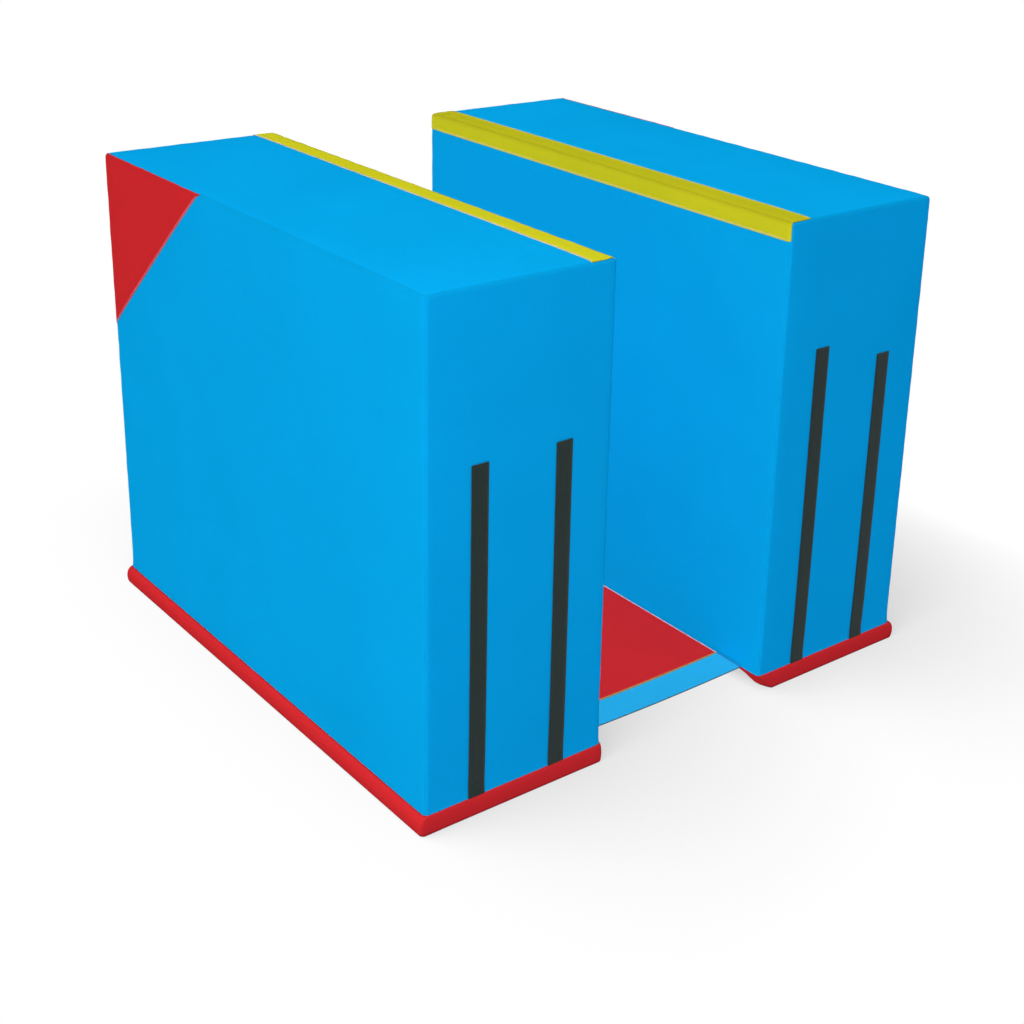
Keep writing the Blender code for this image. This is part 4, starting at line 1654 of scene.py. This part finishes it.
@dataclass
class ZipDressing(BlockWork):
    """The zip in a block's rear face: teeth, and better finishes on the solids that stay."""

    pitch: float = 0.0030
    tooth: tuple[float, float, float] = (0.0047, 0.0022, 0.0019)
    overlap: float = 0.0012
    # How far the first tooth's middle lies above the row's foot, in pitches
    first_tooth: float = 0.75
    rounding: float = 0.0003
    metal_rounding: float = 0.00035

    def build(self) -> None:
        """Make the teeth and dress the rest of the zip."""
        self.build_teeth()
        for name in ("zip_tape_outer", "zip_tape_inner"):
            self.finish_node(self.named(name), ZIP_WEAVE)
        for name in ("zip_bottom_stop", "zip_top_stop"):
            self.finish_node(self.named(name), ZIP_METAL)
        for name in ("slider", "puller"):
            self.build_metal(self.named(f"zip_{name}"), self.named(name))

    def finish_node(self, node: str, finish: Finish) -> None:
        """Give a solid that stays its finish.

        Args:
            node: The solid.
            finish: What it is made of.
        """
        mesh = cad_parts[node].data
        mesh.materials.clear()
        mesh.materials.append(finish.material())
        log.info("%s: kept, %s", node, mesh.materials[0].name)

    def tooth_shape(self) -> bpy.types.Mesh:
        """Make one tooth, with the edges of its outer side taken off.

        Returns:
            The tooth, standing over the origin.
        """
        bm = bmesh.new()
        bmesh.ops.create_cube(bm, size=1.0, matrix=Matrix.Diagonal((*self.tooth, 1.0)))
        outer = [edge for edge in bm.edges if all(vert.co.y > 0.0 for vert in edge.verts)]
        round_off(bm, outer, self.rounding)
        made = bpy.data.meshes.new("tooth")
        bm.to_mesh(made)
        bm.free()
        return made

    def build_teeth(self) -> None:
        """Make two rows of teeth that mesh down the middle."""
        node = self.named("zip_teeth")
        low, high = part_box(node)
        tooth = self.tooth_shape()
        bm = bmesh.new()
        count = int((high.z - low.z - self.pitch) / self.pitch)
        middle = (low + high) / 2
        aside = self.tooth[0] / 2 - self.overlap
        for number in range(2 * count):
            spot = Vector((
                middle.x + (aside if number % 2 else -aside),
                middle.y,
                low.z + self.pitch * (number / 2 + self.first_tooth),
            ))
            stamp(bm, tooth, Matrix.Translation(spot))
        add_piece(f"{node}_row", bm, Fitting([ZIP_PLASTIC], self.body, [node], "zip_teeth"))

    def build_metal(self, node: str, body: str) -> None:
        """Round the edges of a copy of a metal solid, and let it stand for the solid.

        Args:
            node: The solid.
            body: The body that it moves with.
        """
        bm = bmesh.new()
        bm.from_mesh(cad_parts[node].data)
        bmesh.ops.remove_doubles(bm, verts=bm.verts, dist=WELD)
        bmesh.ops.dissolve_limit(bm, angle_limit=FLAT_ANGLE, verts=bm.verts, edges=bm.edges)
        add_piece(f"{node}_cast", bm, Fitting(
            [ZIP_METAL], body, [node], "zip_metal", rounding=self.metal_rounding,
        ))


@dataclass
class FlapDressing:
    """The flap between the blocks: a red sheet between two light blue bands, folding across."""

    reach: float = 0.2065
    front: float = -0.553
    band: float = 0.072
    middle: float = 0.0409
    fabric: float = 0.0024
    seam_gap: float = 0.0002
    sag: float = 0.0030
    wave: float = 0.0008
    wave_length: float = 0.160
    spacing: float = 0.015
    fold_reach: float = 0.016
    fold_spacing: float = 0.002
    stitch_inset: float = 0.004
    thread: Thread = field(default_factory=Thread)
    # Heavy thread joins the sheet and the bands in twin rows, and sews them to the blocks; its deep
    # blue row beside the bands is painted shade, the dark line at that seam
    heavy_thread: Thread = field(default_factory=lambda: Thread(length=0.0062, thickness=0.0030))
    twin_spacing: float = 0.0028
    seam_inset: float = 0.0020

    @property
    def bend(self) -> tuple[Vector, Vector]:
        """Where the fold starts and ends."""
        return Vector((-self.fold_reach, 0, self.middle)), Vector((self.fold_reach, 0, self.middle))

    def height_at(self, x: float, y: float) -> float:
        """Say how high the fabric's upper side lies.

        Args:
            x: The place across the channel.
            y: The place along it.

        Returns:
            The height above the floor.
        """
        slack = 1.0 - (x / self.reach) ** 2
        ripple = noise.noise(Vector((x, y, 0.0)) / self.wave_length)
        return self.middle + self.fabric / 2 + slack * (self.wave * ripple - self.sag)

    def cloth(self, low: float, high: float) -> Mesh:
        """Make the surface of one strip of the flap from front to back.

        Args:
            low: Its front edge along Y.
            high: Its rear edge along Y.

        Returns:
            The surface, hung between the blocks.
        """
        bm = bmesh.new()
        bmesh.ops.create_grid(bm, x_segments=1, y_segments=1, size=1.0)
        bmesh.ops.scale(bm, vec=(self.reach, (high - low) / 2, 1.0), verts=bm.verts)
        bmesh.ops.translate(bm, vec=(0.0, (high + low) / 2, 0.0), verts=bm.verts)
        fold = grid_lines(-self.fold_reach, self.fold_reach, self.fold_spacing)
        cut_along(bm, 0, grid_lines(
            -self.reach, self.reach, self.spacing, (-self.fold_reach, *fold, self.fold_reach),
        ))
        cut_along(bm, 1, grid_lines(low, high, self.spacing))
        for vert in bm.verts:
            vert.co.z = self.height_at(vert.co.x, vert.co.y)
        return bm

    def build(self) -> None:
        """Make the sheet, its bands and the thread that joins them."""
        inner = self.front + self.band
        strips = (
            ("sheet", inner + self.seam_gap, -inner - self.seam_gap, RED, "red_vinyl"),
            ("front_band", self.front, inner, LIGHT_BLUE, "light_blue_vinyl"),
            ("rear_band", -inner, -self.front, LIGHT_BLUE, "light_blue_vinyl"),
        )
        for name, low, high, finish, slot in strips:
            nodes = [f"flap_left_{name}", f"flap_right_{name}"]
            # The strip's cut edges get painted shade in dark grey-blue
            piece = add_piece(f"flap_{name}_fabric", self.cloth(low, high), Fitting(
                [finish, SHADED_FLAP_EDGE], ("flap_left", "flap_right"), nodes, slot,
                thickness=self.fabric, bend=self.bend,
            ))
            # Light passes under the thin flap, and the photograph's floor is as bright there
            piece.visible_shadow = False
        bed = self.cloth(self.front, -self.front)
        tree = BVHTree.FromBMesh(bed)
        bed.free()
        twins = (inner - self.twin_spacing / 2, inner + self.twin_spacing / 2)
        self.sew_across(tree, "joining", self.heavy_thread, OCHRE_THREAD, twins)
        self.sew_across(tree, "hem", self.thread, BLUE_THREAD, (self.front + self.stitch_inset,))
        along_bands = (self.front, inner), (-inner, -self.front)
        for side in Side:
            self.sew_seam(tree, side, "sheet", PALE_THREAD, ((inner, -inner),))
            # Painted shade: a deep blue row where the bands meet the block
            self.sew_seam(tree, side, "bands", SHADE_LINE_THREAD, along_bands)

    def sew_across(
        self, tree: BVHTree, name: str, thread: Thread, finish: SpunThread,
        places: Sequence[float],
    ) -> None:
        """Lay rows of thread across the flap, at the front and at the rear alike.

        Args:
            tree: The flap's surface.
            name: What the rows are for.
            thread: The stitches.
            finish: What they are made of.
            places: Where the front rows lie along Y.
        """
        bm = bmesh.new()
        aside = self.reach - self.stitch_inset
        above = self.middle + self.reach
        for along in (*places, *(-place for place in places)):
            start, end = Vector((-aside, along, above)), Vector((aside, along, above))
            thread.row(bm, tree, start, end, -UP, 0.0)
        add_piece(f"flap_{name}_stitching", bm, Fitting(
            [finish], ("flap_left", "flap_right"), bend=self.bend,
        ))

    def sew_seam(
        self, tree: BVHTree, side: Side, name: str, finish: SpunThread,
        runs: Iterable[tuple[float, float]],
    ) -> None:
        """Lay thread along one block's seam with the sheet, or with the bands as painted shade.

        Args:
            tree: The flap's surface.
            side: The block.
            name: What is sewn on.
            finish: What the thread is made of.
            runs: Where each row starts and ends along Y.
        """
        bm = bmesh.new()
        aside = side.value * (self.reach - self.seam_inset)
        above = self.middle + self.reach
        for low, high in runs:
            start, end = Vector((aside, low, above)), Vector((aside, high, above))
            self.heavy_thread.row(bm, tree, start, end, -UP, 0.0)
        add_piece(f"flap_{side.word}_{name}_seam_stitching", bm, Fitting(
            [finish], f"flap_{side.word}",
        ))


def stand_up(
    data: bpy.types.Light | bpy.types.Camera,
    turned: Iterable[float],
    place: Iterable[float] = (0.0, 0.0, 0.0),
) -> bpy.types.Object:
    """Stand a lamp or the camera in the scene.

    Args:
        data: The lamp or the camera.
        turned: Its rotation, in radians.
        place: Where it stands.

    Returns:
        The object that holds it.
    """
    holder = bpy.data.objects.new(data.name, data)
    holder.location = place
    holder.rotation_euler = turned
    bpy.context.scene.collection.objects.link(holder)
    return holder


def facing_from(direction: Iterable[float]) -> Euler:
    """How a lamp is turned that stands in a direction and shines back from it."""
    return Vector(direction).to_track_quat("Z", "Y").to_euler()


@dataclass(frozen=True)
class Lamp:
    """A broad lamp far away: its strength, the direction it stands in, and how wide it looks."""

    name: str
    strength: float
    direction: tuple[float, float, float]
    width_degrees: float
    casts_shadow: bool
    colour: str = WHITE

    def hang(self) -> None:
        """Hang the lamp."""
        lamp = bpy.data.lights.new(self.name, "SUN")
        lamp.energy = self.strength
        lamp.color = linear(self.colour)[:3]
        lamp.angle = math.radians(self.width_degrees)
        lamp.use_shadow = self.casts_shadow
        # Light that casts no shadow is sampled from the lamp alone, or surfaces would block it
        lamp.cycles.use_multiple_importance_sampling = self.casts_shadow
        stand_up(lamp, facing_from(self.direction))


@dataclass(frozen=True)
class Studio:
    """A plain pale floor, soft light from above, and the camera where the photographer stood."""

    floor_size: float = 60.0
    sky: float = 0.12
    lamps: tuple[Lamp, ...] = (
        # A tent of white cloth over the left side lights everything, so it casts no shadow
        Lamp("tent", 1.95, (-0.71, 0.08, 0.70), 180.0, False),
        # A cool reflector in front fills the blocks' ends
        Lamp("reflector", 0.52, (0.10, -0.98, 0.15), 180.0, False, "#A0A8FF"),
        # A panel overhead reaches the flap down in the channel
        Lamp("ceiling", 0.45, (0.0, 0.0, 1.0), 60.0, False),
        # A little of the light comes straight, and its shadows fall on the object itself
        Lamp("window", 0.20, (-0.55, 0.30, 0.78), 30.0, True),
    )
    softbox_power: float = 26.0
    softbox_size: float = 1.2
    softbox_place: tuple[float, float, float] = (-1.8, -2.2, 2.2)
    # The camera as it was fitted to the blocks' corners: its turn is in degrees
    lens: float = 58.523
    shift: tuple[float, float] = (-0.06, -0.14)
    place: tuple[float, float, float] = (-1.9963, -2.6783, 1.7885)
    turned: tuple[float, float, float] = (70.0695, -1.6381, -38.5689)

    def build(self) -> None:
        """Make the floor, the light and the camera."""
        self.build_floor()
        self.build_sky()
        for lamp in self.lamps:
            lamp.hang()
        self.build_softbox()
        self.build_camera()
        bpy.context.scene.view_settings.view_transform = "Standard"

    def build_floor(self) -> None:
        """Lay the floor."""
        bm = bmesh.new()
        bmesh.ops.create_grid(bm, x_segments=4, y_segments=4, size=self.floor_size / 2)
        floor = temporary_object(bm, "floor")
        bm.free()
        floor.data.materials.append(StudioPaper("seamless_paper", "#8C8C8C").material())

    def build_sky(self) -> None:
        """Make an even white surround that the camera sees as plain white."""
        world = bpy.data.worlds.new("surround")
        bpy.context.scene.world = world
        world.use_nodes = True
        tree = world.node_tree
        tree.nodes.clear()
        strength = add_node(tree, "ShaderNodeMix", {
            0: seen_rays(tree), 2: self.sky, 3: 1.0,
        }, data_type="FLOAT")
        light = add_node(tree, "ShaderNodeBackground", {
            "Color": linear(WHITE), "Strength": strength.outputs[0],
        })
        add_node(tree, "ShaderNodeOutputWorld", {"Surface": light.outputs[0]})

    def build_softbox(self) -> None:
        """Stand a softbox beside the camera, so that what is nearer the left front is brighter."""
        lamp = bpy.data.lights.new("softbox", "AREA")
        lamp.energy = self.softbox_power
        lamp.size = self.softbox_size
        lamp.use_shadow = False
        lamp.cycles.use_multiple_importance_sampling = False
        stand_up(lamp, facing_from(self.softbox_place), self.softbox_place)

    def build_camera(self) -> None:
        """Stand the camera at the photograph's angle."""
        camera = bpy.data.cameras.new("camera")
        camera.lens = self.lens
        camera.shift_x, camera.shift_y = self.shift
        camera.clip_end = self.floor_size
        turned = [math.radians(angle) for angle in self.turned]
        bpy.context.scene.camera = stand_up(camera, turned, self.place)


def main() -> None:
    """Dress both blocks and the flap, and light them."""
    logging.basicConfig(level=logging.INFO, format="%(message)s")
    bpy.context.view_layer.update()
    form = CoverForm()
    for side in Side:
        BlockDressing(side, form).build()
        BaseDressing(side).build()
        ZipDressing(side).build()
    FlapDressing().build()
    Studio().build()


if __name__ == "__main__":
    main()
